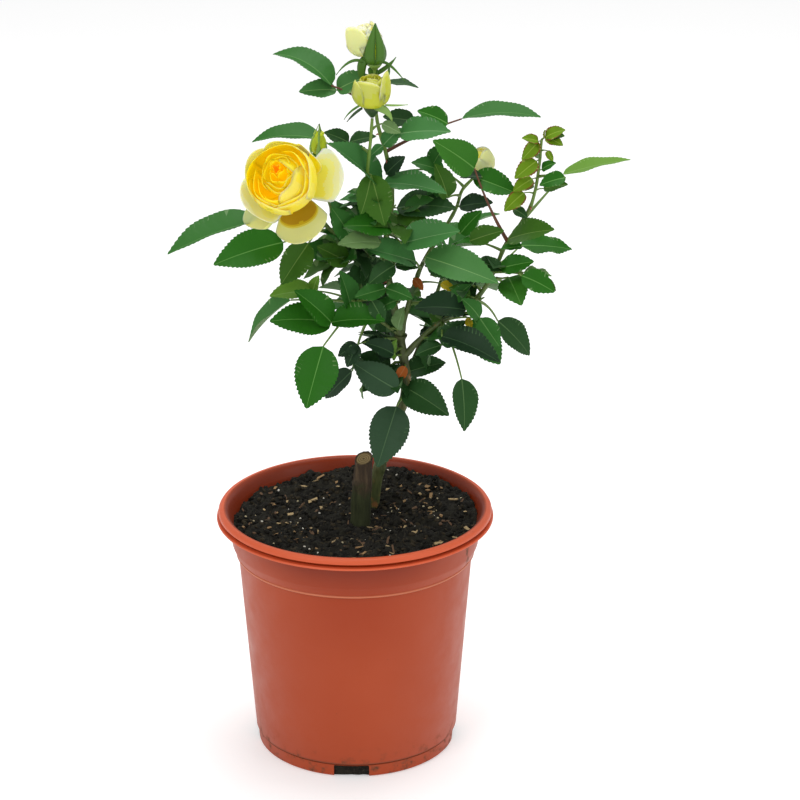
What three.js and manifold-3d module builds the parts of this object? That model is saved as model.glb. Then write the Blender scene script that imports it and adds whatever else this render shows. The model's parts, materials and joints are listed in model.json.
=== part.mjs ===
// A garden rose in a plastic nursery pot: the pot, its compost, a cut-back stump, one main stem
// with its canes, the flowers and the leaves. Millimetres, +Z up. The pot's axis is the Z axis and
// its underside lies on Z = 0. Azimuths are degrees round Z from +X; a rise is degrees above level.

import * as THREE from 'three';
import { mergeVertices } from 'three/addons/utils/BufferGeometryUtils.js';
import Module from 'manifold-3d';

const wasm = await Module();
wasm.setup();

// ---------------------------------------------------------------- driving dimensions

const GAP = 0.3; // air kept between neighbouring pieces
const weld = 1e-4; // corners nearer than this are one corner

const pot = {
  height: 201,
  footRadius: 80,
  footBand: 11, // height of the plain band round the foot
  footStep: 1, // how far the wall stands proud of that band
  shoulderHeight: 163.5,
  shoulderRadius: 94,
  collarRadius: 98.5,
  rimHeight: 9,
  flangeRadius: 110,
  lipRadius: 107.5,
  mouthRadius: 101,
  wall: 2,
  floor: 2.5,
  sides: 24,
};

const drain = { count: 4, azimuth: -92, width: 28, height: 10, depth: 16, slotWidth: 14, slotHeight: 4 };

const soil = { level: 186, mound: 2.5, rings: 3, sides: 12 };

const footDepth = 8; // how far a stem's foot stands in the compost
const footShrink = 0.35; // how much of a foot's flare is left one ring further up
const caneSides = 5;
const caneStepsPerLeg = 1.7;

const stalkRadius = 0.9; // of a leaf's stalk at its end blade
const bladeThickness = 2.4;
const firstPair = 0.86; // where the side blades stand on a leaf's stalk, as a share of its length
const pairStep = 0.34;
const sideForward = 0.6; // the side blades' lean towards the tip, and how far they stand out
const sideOutward = 0.8;
const sideWidth = 0.6; // width of a side blade over its length

const petalThickness = 5;
const petalRoot = 0.22; // height on the globe where the outer petals leave it

const massLumps = 11;
const massHollow = 0.62; // reach of a mass between its lumps, as a share of the full reach

// The stump: a thick old cane sawn off on the slant.
const stump = {
  foot: [3.6, -4],
  legs: [[0, 87, 66]],
  thick: 7.7,
  thin: 6.6,
  flare: 1.6,
  sides: 10,
  steps: 4,
  cutPlace: 0.93, // where on its line the saw went through, and how high that is
  cutHeight: 242,
  cutAzimuth: -110,
  cutRise: 64,
};

// The main stem and the canes. A leg is [azimuth, rise, length]; at is the place on the parent.
const mainStem = {
  foot: [12, 28],
  legs: [[-30, 80, 45], [-30, 70, 70], [-90, 80, 30], [-150, 80, 25]],
  thick: 4.6,
  thin: 3.2,
  flare: 1.8,
  sides: 8,
  steps: 9,
};

const canes = {
  bud_cane: {
    on: 'main_stem', at: 1, thick: 2.8, thin: 1.4,
    legs: [[175, 80, 30], [-180, 80, 40], [-25, 80, 40], [-175, 85, 30], [-180, 75, 35], [-180, 85, 40]],
  },
  second_cane: {
    on: 'bud_cane', at: 0.3, thick: 1.9, thin: 1.4,
    legs: [[-135, 65, 40], [-110, 80, 30], [-50, 80, 25], [25, 85, 25]],
  },
  hidden_cane: {
    on: 'main_stem', at: 1, thick: 2.4, thin: 1.4,
    legs: [[0, 75, 35], [20, 70, 25], [20, 55, 35], [20, 60, 20], [30, 75, 15], [10, 25, 10]],
  },
  young_cane: {
    on: 'main_stem', at: 0.9, thick: 2.6, thin: 1.3,
    legs: [[-10, 45, 40], [-15, 35, 35], [5, 60, 30], [0, 70, 20], [0, 55, 30], [0, 75, 25], [0, 85, 35]],
  },
  bloom_cane: {
    on: 'bud_cane', at: 0.05, thick: 2.4, thin: 1.9,
    legs: [[165, 70, 25], [-175, 50, 40], [-155, 50, 35], [-145, 45, 35]],
  },
  small_bud_cane: {
    on: 'bloom_cane', at: 0.55, thick: 1.3, thin: 1.1,
    legs: [[150, 65, 35], [-175, 75, 25], [-145, 80, 15]],
  },
  low_left_cane: {
    on: 'main_stem', at: 1, thick: 1.9, thin: 1.4,
    legs: [[-155, 40, 25], [-160, 40, 25]],
  },
  back_left_cane: {
    on: 'main_stem', at: 0.8, thick: 2.4, thin: 1.4,
    legs: [[110, 40, 60], [130, 55, 55]],
  },
  back_right_cane: {
    on: 'main_stem', at: 0.75, thick: 2.4, thin: 1.4,
    legs: [[60, 50, 65], [60, 55, 60]],
  },
};

// Flowers sit on the end of their cane and face along azimuth and rise. The globe of petals is
// radius wide and deep long; spread is how far the outer petals reach out past it.
const flowers = {
  bloom: { on: 'bloom_cane', azimuth: -120, rise: 30, radius: 27, deep: 34, cup: 0.5, petals: 5, spread: 22 },
  top_flower: { on: 'bud_cane', azimuth: 175, rise: 75, radius: 13, deep: 36, cup: 0.7 },
  second_flower: { on: 'second_cane', azimuth: -90, rise: 80, radius: 13.5, deep: 35, cup: 0.9 },
  small_bud: { on: 'small_bud_cane', azimuth: 0, rise: 82, radius: 7, deep: 26, cup: 0.15 },
  hidden_flower: { on: 'hidden_cane', azimuth: 180, rise: 80, radius: 12, deep: 28, cup: 0.7 },
};

// Compound leaves: [cane, place on it, [azimuth, rise, length, droop], [blade, width, face], sides].
// The stalk heads along azimuth and rise and has sunk by droop at its tip. blade and width size the
// end blade, face turns the blades from lying level towards the front (-Y), and sides lists the
// length of each pair of side blades, from the tip inwards.
const leaves = {
  leaf_top_left: ['bud_cane', 0.85, [160, 45, 95, 40], [50, 30, 30], [30]],
  leaf_top_right: ['bud_cane', 0.9, [35, 15, 40, 20], [36, 20, 0], []],
  leaf_left_above: ['bud_cane', 0.55, [160, 35, 125, 40], [54, 28, 20], [34]],
  leaf_mid_left: ['bud_cane', 0.55, [-150, 50, 75, 20], [56, 28, 70], []],
  leaf_right_above: ['bud_cane', 0.7, [15, 20, 125, 20], [62, 26, 0], [44, 34]],
  leaf_mid_right: ['bud_cane', 0.55, [-45, 25, 55, 20], [50, 28, 45], []],
  leaf_big_serrate: ['young_cane', 0.6, [-155, 60, 105, 10], [52, 38, 60], [26]],
  leaf_young_top: ['young_cane', 1, [-20, 35, 20, 20], [20, 12, 20], []],
  leaf_young_left: ['young_cane', 1, [-150, 0, 25, 60], [24, 13, 30], [14]],
  leaf_young_mid: ['young_cane', 0.85, [-145, 0, 25, 20], [28, 18, 40], [16]],
  leaf_far_right: ['young_cane', 0.7, [20, 30, 95, 10], [58, 26, 20], [24]],
  leaf_right_a: ['young_cane', 0.6, [-40, 30, 50, 20], [42, 24, 45], []],
  leaf_right_b: ['young_cane', 0.5, [30, 10, 70, 20], [38, 24, 35], [22]],
  leaf_right_c: ['young_cane', 0.5, [-30, 0, 55, 30], [32, 20, 30], [24]],
  leaf_right_hang: ['young_cane', 0.45, [-55, -10, 40, 20], [34, 26, 20], []],
  leaf_right_low: ['young_cane', 0.35, [35, -20, 85, 50], [42, 30, -50], []],
  leaf_right_dark: ['young_cane', 0.2, [-45, -5, 65, 30], [50, 36, 30], []],
  leaf_low_right: ['young_cane', 0.2, [-70, -25, 105, 60], [46, 26, 0], []],
  leaf_stem_right_low: ['main_stem', 0.7, [-40, 5, 50, 30], [44, 32, 40], []],
  leaf_stem_right_up: ['main_stem', 0.8, [30, 15, 35, 20], [34, 26, 40], []],
  leaf_front_hang: ['main_stem', 0.7, [-120, -45, 65, 20], [56, 36, 0], []],
  leaf_stem_left: ['main_stem', 0.8, [-135, 10, 55, 30], [50, 38, 40], []],
  leaf_low_left: ['low_left_cane', 0.95, [-135, -35, 95, 30], [56, 40, 30], [44]],
  leaf_low_small: ['low_left_cane', 0.65, [135, -45, 100, 20], [34, 22, -50], []],
  leaf_left_mid: ['low_left_cane', 0.95, [165, 5, 110, 60], [50, 24, -50], [36]],
  leaf_far_left: ['bloom_cane', 0.6, [-165, 40, 185, 85], [76, 30, 10], []],
  leaf_left_second: ['bloom_cane', 0.85, [-150, -5, 90, 20], [60, 36, 40], []],
  leaf_left_hang: ['bloom_cane', 0.75, [-155, -35, 60, 30], [44, 34, 40], []],
  leaf_front_big: ['hidden_cane', 0.45, [-55, 15, 100, 20], [66, 38, 45], []],
  leaf_front_mid: ['hidden_cane', 0.4, [-125, 30, 85, 20], [50, 32, 50], [34]],
  leaf_back_up: ['back_left_cane', 1, [85, 30, 55, 40], [46, 30, -20], [40]],
  leaf_back_low: ['back_left_cane', 0.6, [115, -5, 90, 50], [46, 30, -30], [40]],
  leaf_back_right: ['back_right_cane', 1, [75, 10, 65, 50], [46, 30, -20], [40]],
};

// Masses of leaves round the canes: where the middle lies, its half sizes, and its lump seed.
const masses = {
  mass_centre: { on: 'bud_cane', at: 0.42, shift: [2, 8, 0], size: [42, 34, 34], seed: 3 },
  mass_heart: { on: 'main_stem', at: 1, shift: [2, 10, 26], size: [48, 38, 24], seed: 5 },
  mass_left: { on: 'bloom_cane', at: 0.5, shift: [-2, 6, 0], size: [28, 26, 30], seed: 8 },
  mass_right: { on: 'young_cane', at: 0.42, shift: [-4, 10, -2], size: [28, 26, 26], seed: 13 },
  mass_low_right: { on: 'young_cane', at: 0.18, shift: [12, 8, -16], size: [30, 26, 20], seed: 21 },
  mass_low_left: { on: 'main_stem', at: 0.9, shift: [-20, 12, -10], size: [20, 24, 22], seed: 44 },
  mass_back_left: { on: 'back_left_cane', at: 0.75, shift: [14, 4, 0], size: [34, 30, 40], seed: 34 },
  mass_back_right: { on: 'back_right_cane', at: 0.7, shift: [6, 4, 4], size: [36, 30, 40], seed: 55 },
};

// ---------------------------------------------------------------- solids and small helpers

// A closed three.js geometry as a solid, once its shared corners are merged.
function toSolid(geometry) {
  const bare = geometry.clone();
  bare.deleteAttribute('normal');
  bare.deleteAttribute('uv');
  const merged = mergeVertices(bare, weld);
  return new wasm.Manifold(new wasm.Mesh({
    numProp: 3,
    vertProperties: new Float32Array(merged.attributes.position.array),
    triVerts: new Uint32Array(merged.index.array),
  }));
}

// The solid's largest piece, which is what is left of a leaf when a stem runs through it.
function largest(solid) {
  return solid.decompose().reduce((best, piece) => (piece.volume() > best.volume() ? piece : best));
}

function toMesh(name, solid, material) {
  const data = solid.getMesh();
  const geometry = new THREE.BufferGeometry();
  geometry.setAttribute('position', new THREE.BufferAttribute(data.vertProperties, 3));
  geometry.setIndex(new THREE.BufferAttribute(data.triVerts, 1));
  geometry.computeVertexNormals();
  const mesh = new THREE.Mesh(geometry, material);
  mesh.name = name;
  return mesh;
}

function radians(degrees) {
  return THREE.MathUtils.degToRad(degrees);
}

// The unit vector that points along an azimuth and a rise.
function heading(azimuth, rise) {
  return new THREE.Vector3(1, 0, 0)
    .applyAxisAngle(new THREE.Vector3(0, 1, 0), -radians(rise))
    .applyAxisAngle(new THREE.Vector3(0, 0, 1), radians(azimuth));
}

// Repeatable numbers from 0 to 1.
function seeded(seed) {
  let state = seed;
  return () => {
    state = (state * 16807) % 2147483647;
    return state / 2147483647;
  };
}

// Moves every corner of a geometry to where place(x, y, z) puts it.
function reshape(geometry, place) {
  const corners = geometry.attributes.position;
  for (let i = 0; i < corners.count; i += 1) {
    const moved = place(corners.getX(i), corners.getY(i), corners.getZ(i));
    corners.setXYZ(i, moved.x, moved.y, moved.z);
  }
  return geometry;
}

// ---------------------------------------------------------------- stems

function legPath(start, legs) {
  const points = [start.clone()];
  for (const [azimuth, rise, length] of legs) {
    points.push(points.at(-1).clone().addScaledVector(heading(azimuth, rise), length));
  }
  return new THREE.CatmullRomCurve3(points);
}

// A tapering limb along a path: a cylinder whose rings are laid on the path's own frames.
function limb(path, { thick, thin, flare = 0, until = 1, sides = caneSides, steps }, grow) {
  const frames = path.computeFrenetFrames(steps);
  const rings = Array.from({ length: steps + 1 }, (_, k) => {
    const end = k === 0 ? -grow : k === steps ? grow : 0;
    return path.getPointAt((until * k) / steps).addScaledVector(frames.tangents[k], end);
  });
  return toSolid(reshape(new THREE.CylinderGeometry(1, 1, 1, sides, steps), (x, y, z) => {
    const k = Math.round((y + 0.5) * steps);
    const radius = THREE.MathUtils.lerp(thick, thin, k / steps) + flare * footShrink ** k + grow;
    return rings[k].clone()
      .addScaledVector(frames.binormals[k], x * radius)
      .addScaledVector(frames.normals[k], z * radius);
  }));
}

function footPoint([x, y]) {
  return new THREE.Vector3(x, y, soil.level - footDepth);
}

const paths = { main_stem: legPath(footPoint(mainStem.foot), mainStem.legs) };
for (const [name, cane] of Object.entries(canes)) {
  paths[name] = legPath(paths[cane.on].getPointAt(cane.at), cane.legs);
}

function stumpSolid(grow) {
  const path = legPath(footPoint(stump.foot), stump.legs);
  const whole = limb(path, stump, grow);
  const cutNormal = heading(stump.cutAzimuth, stump.cutRise).negate();
  const cutPoint = path.getPointAt(stump.cutPlace);
  cutPoint.z = stump.cutHeight;
  return whole.trimByPlane(cutNormal.toArray(), cutNormal.dot(cutPoint) - grow);
}

function mainStemSolid(grow) {
  return limb(paths.main_stem, mainStem, grow);
}

function caneSolid(name, grow) {
  const cane = canes[name];
  return limb(paths[name], { ...cane, steps: Math.round(cane.legs.length * caneStepsPerLeg) }, grow);
}

// ---------------------------------------------------------------- flowers and leaves

// A lens with the outline of a leaf: broad near its base, closing to a point at its tip.
function blade(base, along, across, length, width, grow, thickness = bladeThickness) {
  const face = along.clone().cross(across);
  const lens = new THREE.SphereGeometry(1, 8, 2).rotateX(Math.PI / 2);
  return toSolid(reshape(lens, (x, y, z) => base.clone()
    .addScaledVector(along, (length * (x + 1)) / 2 + x * grow)
    .addScaledVector(across, y * (width / 2 + grow) * (1.05 - 0.25 * x))
    .addScaledVector(face, z * (thickness / 2 + grow))));
}

// The direction across a blade: level and away from the front, then raised by face degrees.
function acrossLeaf(along, face) {
  const level = new THREE.Vector3(0, 0, 1).cross(along).normalize();
  if (level.y < 0) level.negate();
  const raised = along.clone().cross(level);
  if (raised.z < 0) raised.negate();
  return level.multiplyScalar(Math.cos(radians(face))).addScaledVector(raised, Math.sin(radians(face)));
}

// A compound leaf: its stalk, the blade at its end and the pairs along it, as one thin pad.
function leafSolid([on, at, [azimuth, rise, length, droop], [bladeLength, width, face], sides], grow) {
  const start = paths[on].getPointAt(at);
  const middle = start.clone().addScaledVector(heading(azimuth, rise), length / 2);
  const tip = middle.clone().addScaledVector(heading(azimuth, rise - droop), length / 2);
  const path = new THREE.QuadraticBezierCurve3(start, middle, tip);
  const joint = Math.max(0.1, 1 - bladeLength / path.getLength());
  const hub = path.getPointAt(joint);
  const endAlong = tip.clone().sub(hub).normalize();
  const stalk = { thick: 1.3 * stalkRadius, thin: stalkRadius, until: joint + 0.08, sides: 3, steps: 2 };
  let whole = limb(path, stalk, grow)
    .add(blade(hub, endAlong, acrossLeaf(endAlong, face), tip.distanceTo(hub), width, grow));
  sides.forEach((sideLength, pair) => {
    const place = joint * (firstPair - pairStep * pair);
    const root = path.getPointAt(place);
    const along = path.getTangentAt(place);
    const across = acrossLeaf(along, face);
    for (const side of [-1, 1]) {
      const reach = sideOutward * side;
      const out = along.clone().multiplyScalar(sideForward).addScaledVector(across, reach);
      const sideAcross = across.clone().multiplyScalar(sideForward).addScaledVector(along, -reach);
      whole = whole.add(blade(root, out, sideAcross, sideLength, sideLength * sideWidth, grow));
    }
  });
  return whole;
}

// A flower: a globe of petals on its hip, open at the top by cup, with outer petals spread round it.
function flowerSolid({ on, azimuth, rise, radius, deep, cup, petals = 0, spread = 0 }, grow) {
  const facing = heading(azimuth, rise);
  const base = paths[on].getPointAt(1).addScaledVector(facing, -1);
  const profile = [
    [0, -grow],
    [0.3 * radius + grow, 0],
    [0.38 * radius + grow, 0.16 * deep],
    [radius + grow, 0.5 * deep],
    [radius * (0.55 + 0.4 * cup) + grow, 0.8 * deep],
    [radius * 0.85 * cup + 0.6 + grow, deep + grow],
    [0, deep * (1 - 0.25 * cup) + grow],
  ].map(([r, y]) => new THREE.Vector2(r, y));
  const turn = new THREE.Quaternion().setFromUnitVectors(new THREE.Vector3(0, 1, 0), facing);
  const globe = new THREE.LatheGeometry(profile, petals > 0 ? 10 : 7);
  let whole = toSolid(globe.applyQuaternion(turn).translate(base.x, base.y, base.z));
  for (let petal = 0; petal < petals; petal += 1) {
    const angle = (2 * Math.PI * (petal + 0.15)) / petals;
    const outward = new THREE.Vector3(Math.sin(angle), 0, Math.cos(angle)).applyQuaternion(turn);
    const across = outward.clone().cross(facing).normalize();
    const along = outward.clone().multiplyScalar(0.94).addScaledVector(facing, 0.34).normalize();
    const root = base.clone().addScaledVector(facing, petalRoot * deep);
    whole = whole.add(blade(root, along, across, radius + spread, radius * 1.3, grow, petalThickness));
  }
  return whole;
}

// A mass of leaves: a ball swollen into lumps, then stretched to its half sizes.
function massSolid({ on, at, shift, size, seed }, grow) {
  const random = seeded(seed * 7919);
  const lumps = Array.from({ length: massLumps }, () => new THREE.Vector3().setFromSphericalCoords(
    1,
    Math.acos(1 - 2 * random()),
    2 * Math.PI * random(),
  ));
  const centre = paths[on].getPointAt(at).add(new THREE.Vector3(...shift));
  const reach = new THREE.Vector3(...size).addScalar(grow);
  return toSolid(reshape(new THREE.IcosahedronGeometry(1, size[0] > 32 ? 2 : 1), (x, y, z) => {
    const outward = new THREE.Vector3(x, y, z);
    const nearest = Math.max(...lumps.map((lump) => lump.dot(outward)));
    const ruffle = 0.05 * Math.sin(9 * x + seed) * Math.cos(8 * z - seed);
    const swell = THREE.MathUtils.lerp(massHollow, 1, THREE.MathUtils.smoothstep(nearest, 0.6, 0.98));
    return outward.multiply(reach).multiplyScalar(swell + ruffle).add(centre);
  }));
}

// ---------------------------------------------------------------- pot and compost

// A profile of [radius, height] pairs turned round the Z axis.
function turned(profile, sides) {
  const lathe = new THREE.LatheGeometry(profile.map(([r, z]) => new THREE.Vector2(r, z)), sides);
  return toSolid(lathe.rotateX(Math.PI / 2));
}

// The hollow of the pot, drawn in by inset: the compost fills it, and the pot is cut out by it.
function hollowProfile(inset) {
  const inner = pot.wall + inset;
  return [
    [0, pot.floor + inset],
    [pot.footRadius - inner - 1, pot.floor + inset],
    [pot.footRadius - inner + 0.6, pot.floor + 4],
    [pot.shoulderRadius - inner, pot.shoulderHeight],
    [pot.collarRadius - inner - 0.4, pot.shoulderHeight + 9],
    [pot.collarRadius - inner, pot.height - pot.rimHeight - 2],
  ];
}

// A block across the foot at a drain, from the edge inwards, larger by margin on its inner sides.
function drainBlock(index, margin) {
  const outer = pot.footRadius + 6;
  const inner = pot.footRadius - drain.depth - margin;
  const height = 2 * (drain.height + margin);
  const block = new THREE.BoxGeometry(outer - inner, drain.width + 2 * margin, height);
  block.translate((outer + inner) / 2, 0, 0);
  return toSolid(block.rotateZ(radians(drain.azimuth + (360 / drain.count) * index)));
}

// The slot that lets water out of the compost into the drain.
function drainSlot(index) {
  const slot = new THREE.BoxGeometry(3 * pot.wall, drain.slotWidth, drain.slotHeight);
  slot.translate(pot.footRadius - drain.depth, 0, drain.height / 2 + 1);
  return toSolid(slot.rotateZ(radians(drain.azimuth + (360 / drain.count) * index)));
}

function potSolid() {
  const rimFoot = pot.height - pot.rimHeight;
  const outside = turned([
    [0, 0],
    [pot.footRadius - 0.6, 0],
    [pot.footRadius + 0.6, pot.footBand - 0.6],
    [pot.footRadius + 0.6 + pot.footStep, pot.footBand + 0.5],
    [pot.shoulderRadius - 0.5, pot.shoulderHeight - 1.2],
    [pot.shoulderRadius + 0.6, pot.shoulderHeight],
    [pot.collarRadius - 0.6, pot.shoulderHeight + 8],
    [pot.collarRadius + 0.4, rimFoot],
    [pot.flangeRadius, rimFoot],
    [pot.flangeRadius, rimFoot + 2.4],
    [pot.lipRadius, rimFoot + 3.6],
    [pot.lipRadius, pot.height - 1.2],
    [pot.lipRadius - 1.4, pot.height],
    [0, pot.height],
  ], pot.sides);
  let hollow = turned([
    ...hollowProfile(0),
    [pot.mouthRadius, pot.height - 1.6],
    [pot.mouthRadius + 1.4, pot.height],
    [pot.mouthRadius + 1.4, pot.height + 5],
    [0, pot.height + 5],
  ], pot.sides);
  for (let index = 0; index < drain.count; index += 1) {
    hollow = hollow.subtract(drainBlock(index, pot.wall));
  }
  let whole = outside.subtract(hollow);
  for (let index = 0; index < drain.count; index += 1) {
    whole = whole.subtract(drainBlock(index, 0)).subtract(drainSlot(index));
  }
  return whole;
}

// The compost: it fills the pot to its level and its top is lumpy and a little mounded.
function soilSolid() {
  const profile = hollowProfile(GAP).slice(0, -1);
  const edge = pot.collarRadius - pot.wall - GAP - 0.1;
  profile.push([edge, soil.level + 1]);
  for (let ring = 1; ring <= soil.rings; ring += 1) {
    const part = 1 - ring / soil.rings;
    profile.push([edge * part, soil.level + soil.mound * (1 - part)]);
  }
  const lathe = new THREE.LatheGeometry(profile.map(([r, z]) => new THREE.Vector2(r, z)), soil.sides);
  reshape(lathe.rotateX(Math.PI / 2), (x, y, z) => {
    const onTop = z > soil.level - 1 && Math.hypot(x, y) < 0.9 * edge;
    const lump = onTop ? 1.6 * Math.sin(0.11 * x + 1.3) * Math.cos(0.13 * y - 0.4) : 0;
    return new THREE.Vector3(x, y, z + lump);
  });
  let whole = toSolid(lathe);
  for (let index = 0; index < drain.count; index += 1) {
    whole = whole.subtract(drainBlock(index, pot.wall + GAP));
  }
  return whole;
}

// ---------------------------------------------------------------- materials

function finish(color, roughness) {
  return new THREE.MeshStandardMaterial({ color, roughness, metalness: 0 });
}

const terracottaPlastic = finish(0xa8452a, 0.45);
const compost = finish(0x1d1712, 0.95);
const oldBark = finish(0x4a3a28, 0.85);
const greenBark = finish(0x5b6a34, 0.6);
const leafGreen = finish(0x2c6a2e, 0.5);
const youngGreen = finish(0x6f8a22, 0.5);
const shadeGreen = finish(0x1f4a2a, 0.6);
const goldPetal = finish(0xf2cf3a, 0.6);
const creamPetal = finish(0xe9e29a, 0.6);

// ---------------------------------------------------------------- assembly

const object = new THREE.Group();
const placed = [];

function near(a, b) {
  const p = a.boundingBox();
  const q = b.boundingBox();
  return [0, 1, 2].every((axis) => p.min[axis] <= q.max[axis] && q.min[axis] <= p.max[axis]);
}

// Adds a piece, cut back to clear everything that is already there.
function place(name, material, solidAt) {
  let solid = solidAt(0);
  for (const other of placed) {
    if (near(solid, other)) solid = solid.subtract(other);
  }
  placed.push(solidAt(GAP));
  object.add(toMesh(name, largest(solid), material));
}

place('stump', oldBark, stumpSolid);
place('main_stem', greenBark, mainStemSolid);
place('soil', compost, soilSolid);
object.add(toMesh('pot', potSolid(), terracottaPlastic));
for (const name of Object.keys(canes)) {
  place(name, greenBark, (grow) => caneSolid(name, grow));
}
for (const [name, flower] of Object.entries(flowers)) {
  place(name, flower.petals > 0 ? goldPetal : creamPetal, (grow) => flowerSolid(flower, grow));
}
for (const [name, mass] of Object.entries(masses)) {
  place(name, shadeGreen, (grow) => massSolid(mass, grow));
}
for (const [name, leaf] of Object.entries(leaves)) {
  place(name, name.includes('young') ? youngGreen : leafGreen, (grow) => leafSolid(leaf, grow));
}

export default object;
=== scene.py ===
# %% [markdown]
# # A garden rose in a nursery pot
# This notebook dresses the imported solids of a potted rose: a plastic pot, its compost, an old stump,
# the living stem with its canes, the leaves and the yellow flowers. The solids give every place and
# size, so each piece below is built where its solid stands, in metres, with +Z up.

import json
import math
import random

import bpy
import numpy as np
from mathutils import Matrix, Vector, noise

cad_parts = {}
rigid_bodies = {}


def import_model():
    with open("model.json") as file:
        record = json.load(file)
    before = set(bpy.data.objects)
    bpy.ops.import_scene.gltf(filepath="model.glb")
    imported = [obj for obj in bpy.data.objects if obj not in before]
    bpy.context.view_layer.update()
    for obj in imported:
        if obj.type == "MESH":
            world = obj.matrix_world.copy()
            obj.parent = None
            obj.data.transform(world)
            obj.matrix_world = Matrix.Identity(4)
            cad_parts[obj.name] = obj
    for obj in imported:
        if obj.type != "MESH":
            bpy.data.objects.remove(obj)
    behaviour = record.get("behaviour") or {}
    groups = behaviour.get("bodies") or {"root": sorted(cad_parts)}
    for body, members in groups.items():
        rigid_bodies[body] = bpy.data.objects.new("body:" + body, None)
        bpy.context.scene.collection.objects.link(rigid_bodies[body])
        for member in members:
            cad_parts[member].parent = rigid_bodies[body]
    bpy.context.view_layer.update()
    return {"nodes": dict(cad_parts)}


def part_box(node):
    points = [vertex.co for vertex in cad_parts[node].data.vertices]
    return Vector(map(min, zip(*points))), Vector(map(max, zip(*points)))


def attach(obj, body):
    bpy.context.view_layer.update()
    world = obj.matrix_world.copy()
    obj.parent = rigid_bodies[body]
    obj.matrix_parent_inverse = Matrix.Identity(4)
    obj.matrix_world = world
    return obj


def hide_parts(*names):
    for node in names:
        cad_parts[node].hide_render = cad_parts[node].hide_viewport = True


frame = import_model()
solids = frame["nodes"]

# %% [markdown]
# The camera looks slightly down on the pot with a long lens, so that the sides of the pot stay nearly
# upright and the crown isn't stretched. A long lens from two metres away is what a catalogue uses for
# a plant. The floor is pale and plain, and it only carries a soft shadow.

# %% Camera, floor and light
CAMERA_TILT = 20.7
scene = bpy.context.scene
scene.view_settings.view_transform = "Standard"

camera = bpy.data.objects.new("camera", bpy.data.cameras.new("camera"))
camera.location = (0.0357, -1.98, 1.038)
camera.rotation_euler = (math.radians(90 - CAMERA_TILT), 0, 0)
camera.data.lens = 121.5
camera.data.sensor_width = 36
scene.collection.objects.link(camera)
scene.camera = camera

backdrop = bpy.data.materials.new("backdrop")
backdrop.use_nodes = True
paper = backdrop.node_tree.nodes["Principled BSDF"]
paper.inputs["Base Color"].default_value = (0.8, 0.8, 0.8, 1)
paper.inputs["Roughness"].default_value = 0.9
paper.inputs["Specular IOR Level"].default_value = 0.1
paper.inputs["Emission Color"].default_value = (1, 1, 1, 1)
paper.inputs["Emission Strength"].default_value = 0.34

bpy.ops.object.select_all(action="DESELECT")
bpy.ops.mesh.primitive_plane_add(size=9, location=(0, 0, -0.0004))
floor = bpy.context.object
floor.name = "floor"
floor.data.materials.append(backdrop)


def soft_light(name, place, aim, size, power):
    """A square softbox that looks at a point."""
    light = bpy.data.objects.new(name, bpy.data.lights.new(name, "AREA"))
    light.data.size = size
    light.data.energy = power
    light.location = place
    light.rotation_euler = (Vector(aim) - Vector(place)).to_track_quat("-Z", "Y").to_euler()
    scene.collection.objects.link(light)
    return light


soft_light("key light", (-1.3, -1.9, 2.3), (0, 0, 0.35), 1.3, 20)
soft_light("fill light", (1.9, -1.2, 1.2), (0, 0, 0.3), 1.2, 7)
soft_light("top light", (0.2, 0.5, 2.6), (0, 0, 0.4), 1.6, 36)

world = bpy.data.worlds.new("white room")
world.use_nodes = True
world.node_tree.nodes["Background"].inputs["Color"].default_value = (1, 1, 1, 1)
world.node_tree.nodes["Background"].inputs["Strength"].default_value = 0.62
scene.world = world
print("camera", camera.name, "lights", sum(o.type == "LIGHT" for o in scene.objects))

# %% [markdown]
# Every piece ends the same way: it rides on the one body, and stands for the solids that it hides.
# One short function says both, so no piece misses one.

# %% Helpers for every piece
MM = 0.001


def deselect():
    """Nothing selected, so that the next operator acts only on what is picked."""
    bpy.ops.object.select_all(action="DESELECT")


def keep(piece, slot, *nodes):
    """Hands a finished piece over: its body and the solids that it stands for; its slot is not used."""
    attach(piece, "root")
    if nodes:
        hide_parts(*nodes)
    print(piece.name, "faces", len(piece.data.polygons))
    return piece


def smooth(piece, degrees=40):
    deselect()
    piece.select_set(True)
    bpy.context.view_layer.objects.active = piece
    bpy.ops.object.shade_smooth_by_angle(angle=math.radians(degrees))


def apply_modifier(piece, kind, **settings):
    """Adds a modifier with its settings and applies it at once."""
    deselect()
    piece.select_set(True)
    bpy.context.view_layer.objects.active = piece
    modifier = piece.modifiers.new(kind.lower(), kind)
    for setting, value in settings.items():
        setattr(modifier, setting, value)
    bpy.ops.object.modifier_apply(modifier=modifier.name)


def mesh_piece(name, points, faces, materials, zones=None, soft=True):
    """A piece from arrays: its corners, its faces, its materials and the material of each face."""
    mesh = bpy.data.meshes.new(name)
    mesh.from_pydata([tuple(p) for p in points], [], [tuple(f) for f in faces])
    for material in materials:
        mesh.materials.append(material)
    if zones is not None:
        mesh.polygons.foreach_set("material_index", np.asarray(zones, np.int32))
    if soft:
        mesh.polygons.foreach_set("use_smooth", np.ones(len(mesh.polygons), bool))
    mesh.update()
    piece = bpy.data.objects.new(name, mesh)
    scene.collection.objects.link(piece)
    return piece


# %% [markdown]
# A finish starts from a Principled shader with its plain values set on its own sockets. The patterns
# are added with a few small helpers: a noise in object space, which is real metres here, and a ramp
# that turns the noise into colour.

# %% Helpers for finishes


def finish(name, color, roughness, specular=0.5):
    """A new material and its shader node."""
    material = bpy.data.materials.new(name)
    material.use_nodes = True
    shader = material.node_tree.nodes["Principled BSDF"]
    shader.inputs["Base Color"].default_value = (*color, 1)
    shader.inputs["Roughness"].default_value = roughness
    shader.inputs["Specular IOR Level"].default_value = specular
    return material, shader


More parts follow.
